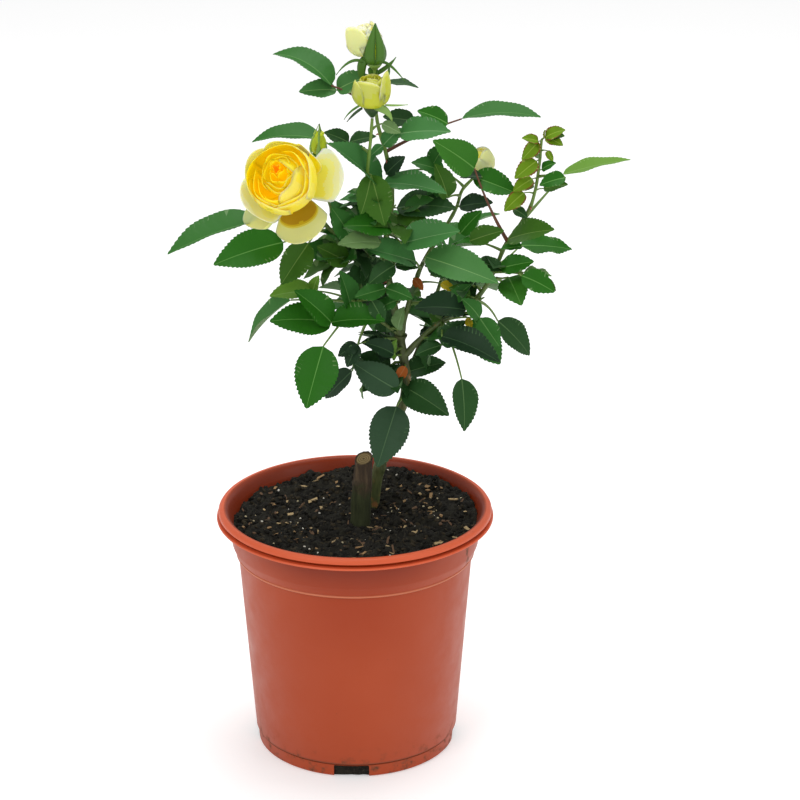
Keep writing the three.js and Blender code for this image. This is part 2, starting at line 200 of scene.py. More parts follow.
class Pattern:
    """Builds the pattern nodes of one material."""

    def __init__(self, material):
        self.tree = material.node_tree
        self.place = self.tree.nodes.new("ShaderNodeTexCoord").outputs["Object"]

    def node(self, kind, inputs=None, **settings):
        made = self.tree.nodes.new(kind)
        for setting, value in settings.items():
            setattr(made, setting, value)
        for socket, value in (inputs or {}).items():
            if isinstance(value, bpy.types.NodeSocket):
                self.tree.links.new(value, made.inputs[socket])
            else:
                made.inputs[socket].default_value = value
        return made

    def stretched(self, scale):
        return self.node("ShaderNodeMapping", {"Vector": self.place, "Scale": scale}).outputs[0]

    def noise(self, scale, detail=4, roughness=0.6, vector=None):
        inputs = {"Vector": vector or self.place, "Scale": scale, "Detail": detail, "Roughness": roughness}
        return self.node("ShaderNodeTexNoise", inputs).outputs[0]

    def ramp(self, value, *stops):
        """A colour or grey for each value: stops are (place, colour)."""
        made = self.node("ShaderNodeValToRGB", {"Fac": value})
        elements = made.color_ramp.elements
        while len(elements) < len(stops):
            elements.new(0.5)
        for element, (at, color) in zip(elements, stops):
            element.position = at
            element.color = (*color, 1) if isinstance(color, tuple) else (color, color, color, 1)
        return made.outputs["Color"]

    def mix(self, share, a, b):
        return self.node("ShaderNodeMix", {0: share, 6: a, 7: b}, data_type="RGBA").outputs[2]

    def math(self, operation, a, b=0.0):
        return self.node("ShaderNodeMath", {0: a, 1: b}, operation=operation).outputs[0]

    def axis(self, letter):
        return self.node("ShaderNodeSeparateXYZ", {0: self.place}).outputs[letter]

    def between(self, value, low, high):
        """0 below low, 1 above high, and a smooth step in between."""
        inputs = {"Value": value, "From Min": low, "From Max": high}
        return self.node("ShaderNodeMapRange", inputs, interpolation_type="SMOOTHSTEP").outputs[0]

    @property
    def from_axis(self):
        """The distance from the pot's upright axis."""
        inputs = {0: self.place, 1: (1, 1, 0)}
        flat = self.node("ShaderNodeVectorMath", inputs, operation="MULTIPLY").outputs[0]
        return self.node("ShaderNodeVectorMath", {0: flat}, operation="LENGTH").outputs["Value"]

    def bump(self, height, distance, strength=1.0):
        inputs = {"Height": height, "Distance": distance, "Strength": strength}
        return self.node("ShaderNodeBump", inputs).outputs[0]

    def to(self, shader, socket, value):
        self.tree.links.new(value, shader.inputs[socket])


# %% [markdown]
# ## The pot
# A nursery pot is injection moulded: one wall of even thickness, a plain foot with drain notches, a
# fine shoulder line under a wider collar, and a doubled rim that stiffens the mouth. It could be spun
# from a profile, but drawing it ring by ring from a disc is closer to how the shape is thought of:
# up the outside, over the rim. The hollow is drawn the same way and cut out of it.

# %% Draw the pot's outside and its hollow
pot_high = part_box("pot")[1]
POT_HEIGHT = pot_high.z
POT_RADIUS = pot_high.x
POT_SEGMENTS = 160
WALL = 2 * MM
FOOT_RADIUS = 79.6 * MM
FOOT_BAND = 10.6 * MM
SHOULDER = 163.5 * MM
RIM_FOOT = POT_HEIGHT - 9 * MM


def ringed_solid(name, rings):
    """A closed round solid, drawn from its bottom disc up through rings of (radius, height)."""
    deselect()
    radius, height = rings[0]
    bpy.ops.mesh.primitive_circle_add(
        vertices=POT_SEGMENTS, radius=radius, fill_type="NGON", location=(0, 0, height)
    )
    piece = bpy.context.object
    piece.name = name
    bpy.ops.object.transform_apply(location=True)
    bpy.ops.object.mode_set(mode="EDIT")
    bpy.ops.mesh.select_mode(type="FACE")
    bpy.ops.mesh.select_all(action="SELECT")
    for next_radius, next_height in rings[1:]:
        rise = (0, 0, next_height - height)
        bpy.ops.mesh.extrude_region_move(TRANSFORM_OT_translate={"value": rise})
        grow = next_radius / radius
        bpy.ops.transform.resize(value=(grow, grow, 1), center_override=(0, 0, next_height))
        radius, height = next_radius, next_height
    bpy.ops.mesh.select_all(action="SELECT")
    bpy.ops.mesh.normals_make_consistent(inside=False)
    bpy.ops.object.mode_set(mode="OBJECT")
    return piece


outside = [
    (FOOT_RADIUS - 0.9 * MM, 0),
    (FOOT_RADIUS, 0.7 * MM),
    (FOOT_RADIUS + 0.8 * MM, FOOT_BAND - 0.5 * MM),
    (FOOT_RADIUS + 0.2 * MM, FOOT_BAND),
    (FOOT_RADIUS + 0.2 * MM, FOOT_BAND + 0.6 * MM),
    (FOOT_RADIUS + 1.7 * MM, FOOT_BAND + 0.9 * MM),
    (FOOT_RADIUS + 2.1 * MM, FOOT_BAND + 1.6 * MM),
    (93.3 * MM, SHOULDER - 1.6 * MM),
    (94.6 * MM, SHOULDER - 1 * MM),
    (95.3 * MM, SHOULDER - 0.2 * MM),
    (95.3 * MM, SHOULDER + 0.6 * MM),
    (95.0 * MM, SHOULDER + 1 * MM),
    (97.7 * MM, SHOULDER + 7.4 * MM),
    (98.2 * MM, SHOULDER + 9 * MM),
    (98.9 * MM, RIM_FOOT - 0.8 * MM),
    (99.8 * MM, RIM_FOOT),
    (POT_RADIUS - 0.9 * MM, RIM_FOOT + 0.1 * MM),
    (POT_RADIUS - 0.1 * MM, RIM_FOOT + 0.6 * MM),
    (POT_RADIUS, RIM_FOOT + 1.2 * MM),
    (POT_RADIUS - 0.6 * MM, RIM_FOOT + 1.9 * MM),
    (POT_RADIUS - 4.2 * MM, RIM_FOOT + 2.1 * MM),
    (POT_RADIUS - 4.8 * MM, RIM_FOOT + 2.7 * MM),
    (POT_RADIUS - 4.7 * MM, RIM_FOOT + 4.1 * MM),
    (POT_RADIUS - 2 * MM, RIM_FOOT + 4.4 * MM),
    (POT_RADIUS - 1.4 * MM, RIM_FOOT + 5 * MM),
    (POT_RADIUS - 1.4 * MM, RIM_FOOT + 6.6 * MM),
    (POT_RADIUS - 2.2 * MM, RIM_FOOT + 8 * MM),
    (POT_RADIUS - 3.4 * MM, POT_HEIGHT - 0.2 * MM),
    (POT_RADIUS - 5 * MM, POT_HEIGHT),
]
hollow_rings = [
    (FOOT_RADIUS - WALL - 1.4 * MM, WALL),
    (FOOT_RADIUS - WALL, WALL + 1.5 * MM),
    (94.2 * MM - WALL, SHOULDER),
    (97.9 * MM - WALL, SHOULDER + 9 * MM),
    (98.9 * MM - WALL, RIM_FOOT - 2 * MM),
    (POT_RADIUS - 10 * MM, POT_HEIGHT - 4.5 * MM),
    (POT_RADIUS - 9.2 * MM, POT_HEIGHT - 2.6 * MM),
    (POT_RADIUS - 7.9 * MM, POT_HEIGHT - 1.1 * MM),
    (POT_RADIUS - 6.4 * MM, POT_HEIGHT - 0.3 * MM),
    (POT_RADIUS - 5.8 * MM, POT_HEIGHT + 3 * MM),
]
pot = ringed_solid("pot_shell", outside)
hollow = ringed_solid("pot_hollow", hollow_rings)
print("pot rings", len(outside), "hollow rings", len(hollow_rings))

# %% [markdown]
# Four notches in the foot let the water out. Each is a block pushed into the foot from outside, and
# the floor steps up over it, so the hollow is drawn back from a slightly larger block first. Boolean
# modifiers do both, in the order in which a toolmaker would think of the mould's inserts.

# %% Cut the drain notches and the hollow
DRAINS = 4
DRAIN_AZIMUTH = -92
DRAIN_WIDTH, DRAIN_HEIGHT, DRAIN_DEPTH = 28 * MM, 10 * MM, 16 * MM


def drain_block(index, margin):
    """A block across the foot at one drain, larger by margin on its inner sides."""
    azimuth = math.radians(DRAIN_AZIMUTH + index * 360 / DRAINS)
    inner = FOOT_RADIUS - DRAIN_DEPTH - margin
    outer = FOOT_RADIUS + 6 * MM
    middle = (inner + outer) / 2
    deselect()
    bpy.ops.mesh.primitive_cube_add(
        size=1,
        location=(middle * math.cos(azimuth), middle * math.sin(azimuth), 0),
        rotation=(0, 0, azimuth),
        scale=(outer - inner, DRAIN_WIDTH + 2 * margin, 2 * (DRAIN_HEIGHT + margin)),
    )
    block = bpy.context.object
    bpy.ops.object.mode_set(mode="EDIT")
    bpy.ops.mesh.bevel(offset=1.2 * MM, segments=3)
    bpy.ops.object.mode_set(mode="OBJECT")
    return block


def cut(piece, tool):
    apply_modifier(piece, "BOOLEAN", operation="DIFFERENCE", object=tool, solver="EXACT")
    bpy.data.objects.remove(tool)


for drain in range(DRAINS):
    cut(hollow, drain_block(drain, WALL))
    cut(pot, drain_block(drain, 0))
cut(pot, hollow)
smooth(pot, 35)
print("pot corners", len(pot.data.vertices))

# %% [markdown]
# The plastic is coloured all through, so its red is even, with a faint cloudiness. Handling and
# watering mark it: soil splashes low down and in the foot's seam, a brown run on the collar, specks of
# soil, and rubbed places. Painted shade darkens the red inside the pot, under the rim and high on the
# front, and a painted highlight brightens the lip, the flange and the shoulder ridge. The gloss is
# satin, so a white room shows as a pale sheen down both sides.

# %% Pot plastic
TERRACOTTA = (0.37, 0.047, 0.006)
TERRACOTTA_PALE = (0.42, 0.063, 0.015)
# Painted shade: a darker red inside the pot and under the rim.
TERRACOTTA_PAINTED_SHADE = (0.19, 0.017, 0.0005)
# Painted shade: a darker red high on the front.
TERRACOTTA_FRONT_PAINTED_SHADE = (0.32, 0.032, 0.0005)
# Painted highlight: a paler red on the lip and the flange.
TERRACOTTA_LIP_HIGHLIGHT = (0.62, 0.1, 0.034)
# Painted highlight: a pale line along the shoulder ridge.
TERRACOTTA_RIDGE_HIGHLIGHT = (0.6, 0.2, 0.1)
GRIME = (0.075, 0.04, 0.018)
# Where each mark fades in or out, in metres: it is absent at the first value and full at the second.
WALL_INSIDE_RADIUS, WALL_INSIDE_HEIGHT = (0.0981, 0.0977), (0.182, 0.186)
MOUTH_RADIUS = (0.1036, 0.1026)
ABOVE_RIM_FOOT, BELOW_RIM_FOOT = (0.1915, 0.1925), (0.1925, 0.1915)
UNDER_RIM_HEIGHT = (0.155, 0.19)
FRONT_HALF = (0, -0.05)
SHADED_WIDTH, SHADED_HEIGHT = (0.07, 0.005), (0.085, 0.16)
COLLAR_WIDTH = (0.095, 0.03)
LIP_RADIUS, LIP_HEIGHT = (0.1038, 0.105), (0.196, 0.1966)
FLANGE_RADIUS = (0.1058, 0.1066)
RIDGE_FOOT, RIDGE_TOP = (0.1622, 0.163), (0.1648, 0.164)
SPLASH_HEIGHT = (0.03, 0.004)
SEAM_FOOT, SEAM_TOP = (0.0095, 0.0108), (0.0135, 0.0118)
RUN_PLACE, RUN_WIDTH, RUN_FRONT = 0.0885, (0.0016, 0.0006), (0, -0.02)
RUN_FOOT, RUN_TOP = (0.163, 0.17), (0.1925, 0.186)
# How strongly each mark covers what lies below it.
CLOUDY, RUBBED, SHADED, INSIDE_SHADE = 0.5, 0.25, 0.85, 0.85
COLLAR_SHADE_ALL_ROUND, COLLAR_SHADE_IN_FRONT = 0.16, 0.52
RIDGE_HIGHLIGHT, SEAM_DIRT, SPECK_DIRT, RUN_DIRT = 0.7, 0.55, 0.5, 0.8

plastic, plastic_shader = finish("terracotta plastic", TERRACOTTA, 0.42, 0.3)
p = Pattern(plastic)
clouds = p.between(p.noise(9, detail=2), 0.3, 0.75)
color = p.mix(p.math("MULTIPLY", clouds, CLOUDY), (*TERRACOTTA, 1), (*TERRACOTTA_PALE, 1))
rubbed = p.between(p.noise(90, detail=5, vector=p.stretched((1, 1, 0.35))), 0.66, 0.74)
color = p.mix(p.math("MULTIPLY", rubbed, RUBBED), color, (*TERRACOTTA_PALE, 1))
height = p.axis("Z")
# Painted shade on the wall inside the pot and in its mouth.
wall_inside = p.between(p.from_axis, *WALL_INSIDE_RADIUS)
wall_inside = p.math("MULTIPLY", wall_inside, p.between(height, *WALL_INSIDE_HEIGHT))
mouth = p.math("MULTIPLY", p.between(p.from_axis, *MOUTH_RADIUS), p.between(height, *ABOVE_RIM_FOOT))
inside = p.math("MAXIMUM", wall_inside, mouth)
# Painted shade under the rim, all round and stronger in front.
under_rim = p.math("MULTIPLY", p.between(height, *UNDER_RIM_HEIGHT), p.between(height, *BELOW_RIM_FOOT))
aside = p.math("ABSOLUTE", p.axis("X"))
in_front = p.between(p.axis("Y"), *FRONT_HALF)
# Painted shade high on the front, below the collar.
shaded = p.math("MULTIPLY", p.between(aside, *SHADED_WIDTH), in_front)
shaded = p.math("MULTIPLY", shaded, p.between(height, *SHADED_HEIGHT))
color = p.mix(p.math("MULTIPLY", shaded, SHADED), color, (*TERRACOTTA_FRONT_PAINTED_SHADE, 1))
collar_front = p.math("MULTIPLY", p.between(aside, *COLLAR_WIDTH), in_front)
collar_shade_strength = p.math("ADD", p.math("MULTIPLY", collar_front, COLLAR_SHADE_IN_FRONT), COLLAR_SHADE_ALL_ROUND)
collar_shade = p.math("MULTIPLY", under_rim, collar_shade_strength)
deep = p.math("MAXIMUM", p.math("MULTIPLY", inside, INSIDE_SHADE), collar_shade)
color = p.mix(deep, color, (*TERRACOTTA_PAINTED_SHADE, 1))
# Painted highlight on the lip and the flange.
lip_highlight = p.math("MULTIPLY", p.between(height, *LIP_HEIGHT), p.between(p.from_axis, *LIP_RADIUS))
flange_highlight = p.math("MULTIPLY", p.between(height, *ABOVE_RIM_FOOT), p.between(p.from_axis, *FLANGE_RADIUS))
color = p.mix(p.math("MAXIMUM", lip_highlight, flange_highlight), color, (*TERRACOTTA_LIP_HIGHLIGHT, 1))
# Painted highlight along the shoulder ridge.
ridge = p.math("MULTIPLY", p.between(height, *RIDGE_FOOT), p.between(height, *RIDGE_TOP))
color = p.mix(p.math("MULTIPLY", ridge, RIDGE_HIGHLIGHT), color, (*TERRACOTTA_RIDGE_HIGHLIGHT, 1))
low = p.between(height, *SPLASH_HEIGHT)
seam = p.math("MULTIPLY", p.between(height, *SEAM_FOOT), p.between(height, *SEAM_TOP))
splashes = p.between(p.noise(120, detail=6), 0.5, 0.72)
dirt = p.math("MULTIPLY", splashes, p.math("MAXIMUM", low, seam))
dirt = p.math("MAXIMUM", dirt, p.math("MULTIPLY", seam, SEAM_DIRT))
specks = p.between(p.noise(420, detail=2), 0.76, 0.8)
dirt = p.math("MAXIMUM", dirt, p.math("MULTIPLY", specks, SPECK_DIRT))
across = p.math("ABSOLUTE", p.math("SUBTRACT", p.axis("X"), RUN_PLACE))
run = p.math("MULTIPLY", p.between(across, *RUN_WIDTH), p.between(p.axis("Y"), *RUN_FRONT))
run = p.math("MULTIPLY", run, p.between(height, *RUN_FOOT))
run = p.math("MULTIPLY", run, p.between(height, *RUN_TOP))
run = p.math("MULTIPLY", run, p.between(p.noise(260, detail=3), 0.35, 0.6))
dirt = p.math("MAXIMUM", dirt, p.math("MULTIPLY", run, RUN_DIRT))
p.to(plastic_shader, "Base Color", p.mix(dirt, color, (*GRIME, 1)))
gloss = p.ramp(p.noise(60, detail=4), (0.3, 0.36), (0.7, 0.5))
p.to(plastic_shader, "Roughness", p.math("ADD", gloss, p.math("MULTIPLY", dirt, 0.3)))
p.to(plastic_shader, "Normal", p.bump(p.noise(45, detail=3), 0.0006, 0.35))
pot.data.materials.clear()
pot.data.materials.append(plastic)
keep(pot, "pot_plastic", "pot")

# %% [markdown]
# ## The compost
# Peat compost is a crumbly, nearly black bed with some millimetres of fall in it, higher towards the
# back. A fine grid is drawn into a disc, displaced three times (slopes, clods, crumbs), and
# closed below like the fill of a mould, so that it stays one solid body under the surface.

# %% Bed of compost
SOIL_LEVEL = 188.5 * MM
BED_RADIUS = 97.2 * MM
BED_FALL = 6 * MM
FALL_START, FALL_RUN = 10 * MM, 85 * MM

deselect()
bpy.ops.mesh.primitive_grid_add(x_subdivisions=190, y_subdivisions=190, size=2, location=(0, 0, 0))
bed = bpy.context.object
bed.name = "compost_bed"
flat = np.zeros(len(bed.data.vertices) * 3)
bed.data.vertices.foreach_get("co", flat)
square = flat.reshape(-1, 3)
disc = np.zeros_like(square)
disc[:, 0] = BED_RADIUS * square[:, 0] * np.sqrt(1 - square[:, 1] ** 2 / 2)
disc[:, 1] = BED_RADIUS * square[:, 1] * np.sqrt(1 - square[:, 0] ** 2 / 2)
uphill = np.clip((0.5 * disc[:, 0] + 0.87 * disc[:, 1] - FALL_START) / FALL_RUN, 0, 1)
disc[:, 2] = SOIL_LEVEL + BED_FALL * uphill**2 * (3 - 2 * uphill)
bed.data.vertices.foreach_set("co", disc.ravel())
bed.data.update()

for texture_name, kind, size, strength in (
    ("slopes", "CLOUDS", 0.04, 0.011),
    ("clods", "CLOUDS", 0.012, 0.0095),
    ("crumbs", "STUCCI", 0.0032, 0.0034),
):
    texture = bpy.data.textures.new(texture_name, kind)
    texture.noise_scale = size
    apply_modifier(bed, "DISPLACE", texture=texture, strength=strength, direction="Z", mid_level=0.5)

deselect()
bed.select_set(True)
bpy.context.view_layer.objects.active = bed
bpy.ops.object.mode_set(mode="EDIT")
bpy.ops.mesh.select_mode(type="EDGE")
bpy.ops.mesh.select_all(action="SELECT")
bpy.ops.mesh.region_to_loop()
wall_rings = [(SHOULDER + 9 * MM, 95.6 * MM), (SHOULDER, 91.9 * MM), (14.5 * MM, 78.6 * MM)]
ring_radius = BED_RADIUS
for ring_height, next_radius in wall_rings:
    bpy.ops.mesh.extrude_edges_move()
    shrink = next_radius / ring_radius
    bpy.ops.transform.resize(value=(shrink, shrink, 0), center_override=(0, 0, ring_height))
    ring_radius = next_radius
bpy.ops.mesh.edge_face_add()
bpy.ops.mesh.select_all(action="SELECT")
bpy.ops.mesh.normals_make_consistent(inside=False)
bpy.ops.object.mode_set(mode="OBJECT")

peat, peat_shader = finish("peat", (0.012, 0.009, 0.007), 0.92, 0.25)
p = Pattern(peat)
grain = p.noise(650, detail=5, roughness=0.7)
clod = p.noise(110, detail=4)
color = p.ramp(
    grain,
    (0.36, (0.0025, 0.0022, 0.0016)),
    (0.55, (0.012, 0.011, 0.008)),
    (0.74, (0.085, 0.074, 0.05)),
)
color = p.mix(p.between(clod, 0.42, 0.66), color, (0.016, 0.0145, 0.009, 1))
p.to(peat_shader, "Base Color", color)
p.to(peat_shader, "Normal", p.bump(grain, 0.0007, 0.8))
bed.data.materials.append(peat)
smooth(bed, 60)
keep(bed, "compost", "soil")


# %% [markdown]
# Through the drain notches dark, crumbly compost shows; this dark fill is also painted shade, standing
# for the shadow under the pot. One small block fills each notch a little way back from the foot's face;
# it is subdivided, and displaced inwards by the same clods and crumbs as the bed. Its sides reach
# slightly into the plastic, so that no gap opens between the two.

# %% Compost in the drain notches, partly painted shade
PLUG_SETBACK = 1.8 * MM
PLUG_OVERLAP = 0.7 * MM
PLUG_LIFT = 0.1 * MM
# Dark compost in each notch, partly painted shade under the pot.
plugs = []
for drain in range(DRAINS):
    azimuth = math.radians(DRAIN_AZIMUTH + drain * 360 / DRAINS)
    inner, outer = FOOT_RADIUS - DRAIN_DEPTH - PLUG_OVERLAP, FOOT_RADIUS - PLUG_SETBACK
    bottom, top = PLUG_LIFT, DRAIN_HEIGHT + PLUG_OVERLAP
    middle = (inner + outer) / 2
    deselect()
    bpy.ops.mesh.primitive_cube_add(
        size=1,
        location=(middle * math.cos(azimuth), middle * math.sin(azimuth), (bottom + top) / 2),
        rotation=(0, 0, azimuth),
        scale=(outer - inner, DRAIN_WIDTH + 2 * PLUG_OVERLAP, top - bottom),
    )
    bpy.ops.object.transform_apply(location=True, rotation=True, scale=True)
    bpy.ops.object.mode_set(mode="EDIT")
    bpy.ops.mesh.subdivide(number_cuts=9)
    bpy.ops.object.mode_set(mode="OBJECT")
    plugs.append(bpy.context.object)
deselect()
for plug in plugs:
    plug.select_set(True)
bpy.context.view_layer.objects.active = plugs[0]
bpy.ops.object.join()
plug = bpy.context.object
plug.name = "drain_compost"
for texture_name, strength in (("clods", 0.0007), ("crumbs", 0.0008)):
    texture = bpy.data.textures[texture_name]
    apply_modifier(plug, "DISPLACE", texture=texture, strength=strength, mid_level=1.0)
plug.data.materials.append(peat)
smooth(plug, 60)
keep(plug, "compost")
print("drain compost corners", len(plug.data.vertices))

# %% [markdown]
# What catches the eye in compost is what isn't fine peat: loose clods, splinters of bark, and pale
# grains that keep it airy. Each kind is one joined mesh. A ray dropped on the bed tells every bit where
# it lies and how it tilts, and the seeded numbers keep the scatter the same on each run.

# %% Scatter on the bed
from mathutils.bvhtree import BVHTree

bed_tree = BVHTree.FromPolygons(
    [v.co.copy() for v in bed.data.vertices], [tuple(f.vertices) for f in bed.data.polygons]
)
SCATTER_RADIUS = 94 * MM
# The place of each stem and the room that it needs.
STEM_PLACES = [(Vector((4, -4)) * MM, 10 * MM), (Vector((12, 28)) * MM, 6 * MM)]


def on_bed(x, y):
    """The bed's height and slope under a place."""
    place, slope, _, _ = bed_tree.ray_cast(Vector((x, y, 0.3)), Vector((0, 0, -1)))
    return place, slope


def bed_places(rng, count):
    """Places spread evenly over the bed, clear of the stems."""
    reach = SCATTER_RADIUS
    found = []
    while len(found) < count:
        place = Vector((rng.uniform(-reach, reach), rng.uniform(-reach, reach)))
        if place.length < reach and all((place - c).length > r for c, r in STEM_PLACES):
            found.append(place)
    return found


def frame_on(normal, turn):
    """Three directions on a surface: along, across and out."""
    along = Vector((math.cos(turn), math.sin(turn), 0))
    across = normal.cross(along).normalized()
    return across.cross(normal).normalized(), across, normal


BOX_CORNERS = [(x, y, z) for z in (-1, 1) for x, y in ((-1, -1), (1, -1), (1, 1), (-1, 1))]
BOX_FACES = [(3, 2, 1, 0), (4, 5, 6, 7), (0, 1, 5, 4), (1, 2, 6, 5), (2, 3, 7, 6), (3, 0, 4, 7)]
# The ball is an icosahedron: corners on three golden rectangles, and a face on every three neighbours.
GOLDEN = (1 + math.sqrt(5)) / 2
BALL_CORNERS = [Vector(c).normalized() for a in (-1, 1) for b in (-GOLDEN, GOLDEN) for c in
                ((0, a, b), (a, b, 0), (b, 0, a))]
BALL_FACES = [f for f in
              ((i, j, k) for i in range(12) for j in range(12) for k in range(12))
              if f[0] < f[1] and f[0] < f[2] and f[1] != f[2]
              and all((BALL_CORNERS[f[m]] - BALL_CORNERS[f[(m + 1) % 3]]).length < 1.1 for m in range(3))
              and (BALL_CORNERS[f[1]] - BALL_CORNERS[f[0]]).cross(
                  BALL_CORNERS[f[2]] - BALL_CORNERS[f[0]]).dot(BALL_CORNERS[f[0]]) > 0]


def scattered(name, seed, count, corners, faces, sizes, sink, jitter, materials):
    """Many small bits on the bed as one mesh. sizes draws a bit's half sizes, sink is its depth."""
    rng = random.Random(seed)
    points, polygons, zones = [], [], []
    for place in bed_places(rng, count):
        ground, slope = on_bed(place.x, place.y)
        if ground is None:
            continue
        tilt = Vector((rng.gauss(0, 0.3), rng.gauss(0, 0.3), 1)).normalized()
        along, across, out = frame_on((slope + tilt).normalized(), rng.uniform(0, math.tau))
        half = sizes(rng)
        first = len(points)
        for corner in corners:
            wobble = [c * (1 + rng.uniform(-jitter, jitter)) * h for c, h in zip(corner, half)]
            bit = ground + along * wobble[0] + across * wobble[1] + out * (wobble[2] + half[2] * sink)
            points.append(bit)
        polygons += [tuple(first + i for i in face) for face in faces]
        zones += [rng.randrange(len(materials))] * len(faces)
    return mesh_piece(name, points, polygons, materials, zones, soft=False)


def plain(name, color, roughness=0.6, specular=0.4):
    return finish(name, color, roughness, specular)[0]


clods = scattered(
    "compost_clods", 11, 1500, BALL_CORNERS, BALL_FACES,
    lambda rng: [rng.uniform(0.6, 3.0) * MM * s for s in (1, rng.uniform(0.6, 1), rng.uniform(0.5, 0.8))],
    0.2, 0.25, [plain("dark peat", (0.006, 0.0055, 0.004), 0.95, 0.2),
                plain("black peat", (0.01, 0.009, 0.007), 0.95, 0.2),
                plain("brown peat", (0.034, 0.027, 0.016), 0.95, 0.2)],
)
keep(clods, "compost")
chips = scattered(
    "bark_chips", 23, 175, BOX_CORNERS, BOX_FACES,
    lambda rng: [rng.uniform(0.9, 4.6) * MM, rng.uniform(0.5, 1.4) * MM, rng.uniform(0.25, 0.5) * MM],
    0.5, 0.35, [plain("pale chip", (0.42, 0.3, 0.15), 0.8), plain("tan chip", (0.3, 0.18, 0.08), 0.8),
                plain("brown chip", (0.11, 0.06, 0.03), 0.85)],
)
keep(chips, "compost")
grains = scattered(
    "pale_grains", 37, 85, BALL_CORNERS, BALL_FACES,
    lambda rng: [rng.uniform(0.5, 1.3) * MM * s for s in (1, 0.9, 0.75)],
    0.4, 0.2, [plain("white grain", (0.62, 0.58, 0.5), 0.8), plain("cream grain", (0.5, 0.42, 0.26), 0.8)],
)
keep(grains, "compost")

# %% [markdown]
# ## Limbs
# The canes are round and taper evenly, so each could be a bevelled curve. A tube from arrays is used
# instead, because its rings can carry the bark's relief, the swollen nodes and the flare of a foot.
# Level cuts through each packed limb give its middle line and its thickness.

# %% Middle lines of the limbs
CUT_STEP = 3 * MM


def level_cut(corners, triangles, height):
    """Where a limb's surface crosses a height: its middle and its half width."""
    found = []
    for a, b in ((0, 1), (1, 2), (2, 0)):
        start, end = corners[triangles[:, a]], corners[triangles[:, b]]
        crossing = (start[:, 2] < height) != (end[:, 2] < height)
        start, end = start[crossing], end[crossing]
        share = (height - start[:, 2]) / (end[:, 2] - start[:, 2])
        found.append(start + (end - start) * share[:, None])
    outline = np.vstack(found)
    middle = (outline.min(0) + outline.max(0)) / 2
    spread = np.linalg.svd(outline[:, :2] - outline[:, :2].mean(0), compute_uv=False)[-1]
    return middle, spread * math.sqrt(2 / len(outline))


def surface(node):
    """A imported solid's corners and triangles."""
    mesh = solids[node].data
    return np.array([v.co for v in mesh.vertices]), np.array([t.vertices for t in mesh.polygons])


def middle_line(node):
    """A limb's middle line as points from its foot up, and its radius as a straight taper."""
    corners, triangles = surface(node)
    low, high = corners[:, 2].min(), corners[:, 2].max()
    count = max(4, int((high - low) / CUT_STEP))
    heights = np.linspace(low + 0.6 * MM, high - 0.6 * MM, count)
    cuts = [level_cut(corners, triangles, z) for z in heights]
    line = np.array([middle for middle, _ in cuts])
    taper = np.polyfit(np.linspace(0, 1, count), [half for _, half in cuts], 1)
    return line, np.polyval(taper, 0), np.polyval(taper, 1)


def evenly(line, spacing):
    """The same line with its points at an even spacing, rounded off where it bends."""
    for _ in range(2):
        line = np.vstack([line[:1], (line[:-2] + 2 * line[1:-1] + line[2:]) / 4, line[-1:]])
    gaps = np.linalg.norm(np.diff(line, axis=0), axis=1)
    run = np.concatenate([[0], np.cumsum(gaps)])
    places = np.linspace(0, run[-1], max(3, int(run[-1] / spacing)))
    return np.column_stack([np.interp(places, run, line[:, axis]) for axis in range(3)])


def at_share(line, share):
    """The point a share of the way along a line."""
    return Vector(line[min(len(line) - 1, round(share * (len(line) - 1)))])


PARENTS = {
    "main_stem": None,
    "bud_cane": "main_stem",
    "second_cane": "bud_cane",
    "hidden_cane": "main_stem",
    "young_cane": "main_stem",
    "bloom_cane": "bud_cane",
    "small_bud_cane": "bloom_cane",
    "low_left_cane": "main_stem",
    "back_left_cane": "main_stem",
    "back_right_cane": "main_stem",
}
lines, tapers = {}, {}
for limb_name, parent in PARENTS.items():
    line, thick, thin = middle_line(limb_name)
    if parent:
        nearest = np.linalg.norm(lines[parent] - line[0], axis=1).argmin()
        line = np.vstack([lines[parent][nearest], line])
    lines[limb_name] = evenly(line, 1.2 * MM)
    tapers[limb_name] = (thick, thin)
    print(limb_name, "points", len(lines[limb_name]), "radii mm", round(thick / MM, 2), round(thin / MM, 2))

# %% [markdown]
# Rose bark is smooth and green when young, with faint ribs that run along the cane, and it swells
# where a leaf or a shoot leaves. Old wood at the foot is rougher. A tube's corners are moved in and
# out by noise that is stretched along the limb, and each child's place on its parent gets a swelling.

# %% Tubes with relief


def tube(line, radii, sides, relief=0.0, seed=0, swell=()):
    """A closed tube round a line. relief is the height of its ribs, and swell lists (place, gain)."""
    line = np.asarray(line, float)
    count = len(line)
    radii = np.interp(np.linspace(0, 1, count), np.linspace(0, 1, len(radii)), radii)
    for place, gain in swell:
        distance = np.linalg.norm(line - np.array(place), axis=1)
        radii = radii * (1 + gain * np.exp(-((distance / (3.2 * MM)) ** 2)))
    tangents = np.gradient(line, axis=0)
    tangents /= np.linalg.norm(tangents, axis=1)[:, None]
    side = np.cross(tangents[0], (0.0, 1.0, 0.0))
    points, faces = [], []
    for k in range(count):
        side = side - tangents[k] * side.dot(tangents[k])
        side /= np.linalg.norm(side)
        other = np.cross(tangents[k], side)
        for s in range(sides):
            angle = math.tau * s / sides
            out = side * math.cos(angle) + other * math.sin(angle)
            lift = 0
            if relief:
                where = Vector((math.cos(angle) * 2.2, math.sin(angle) * 2.2, line[k][2] * 60 + seed))
                lift = relief * noise.noise(where)
            points.append(line[k] + out * (radii[k] + lift))
    for k in range(count - 1):
        for s in range(sides):
            n = (s + 1) % sides
            a, b = k * sides, (k + 1) * sides
            faces.append((a + s, a + n, b + n, b + s))
    points += [line[0], line[-1]]
    foot, tip = len(points) - 2, len(points) - 1
    top = (count - 1) * sides
    for s in range(sides):
        n = (s + 1) % sides
        faces.append((foot, n, s))
        faces.append((tip, top + s, top + n))
    return points, faces


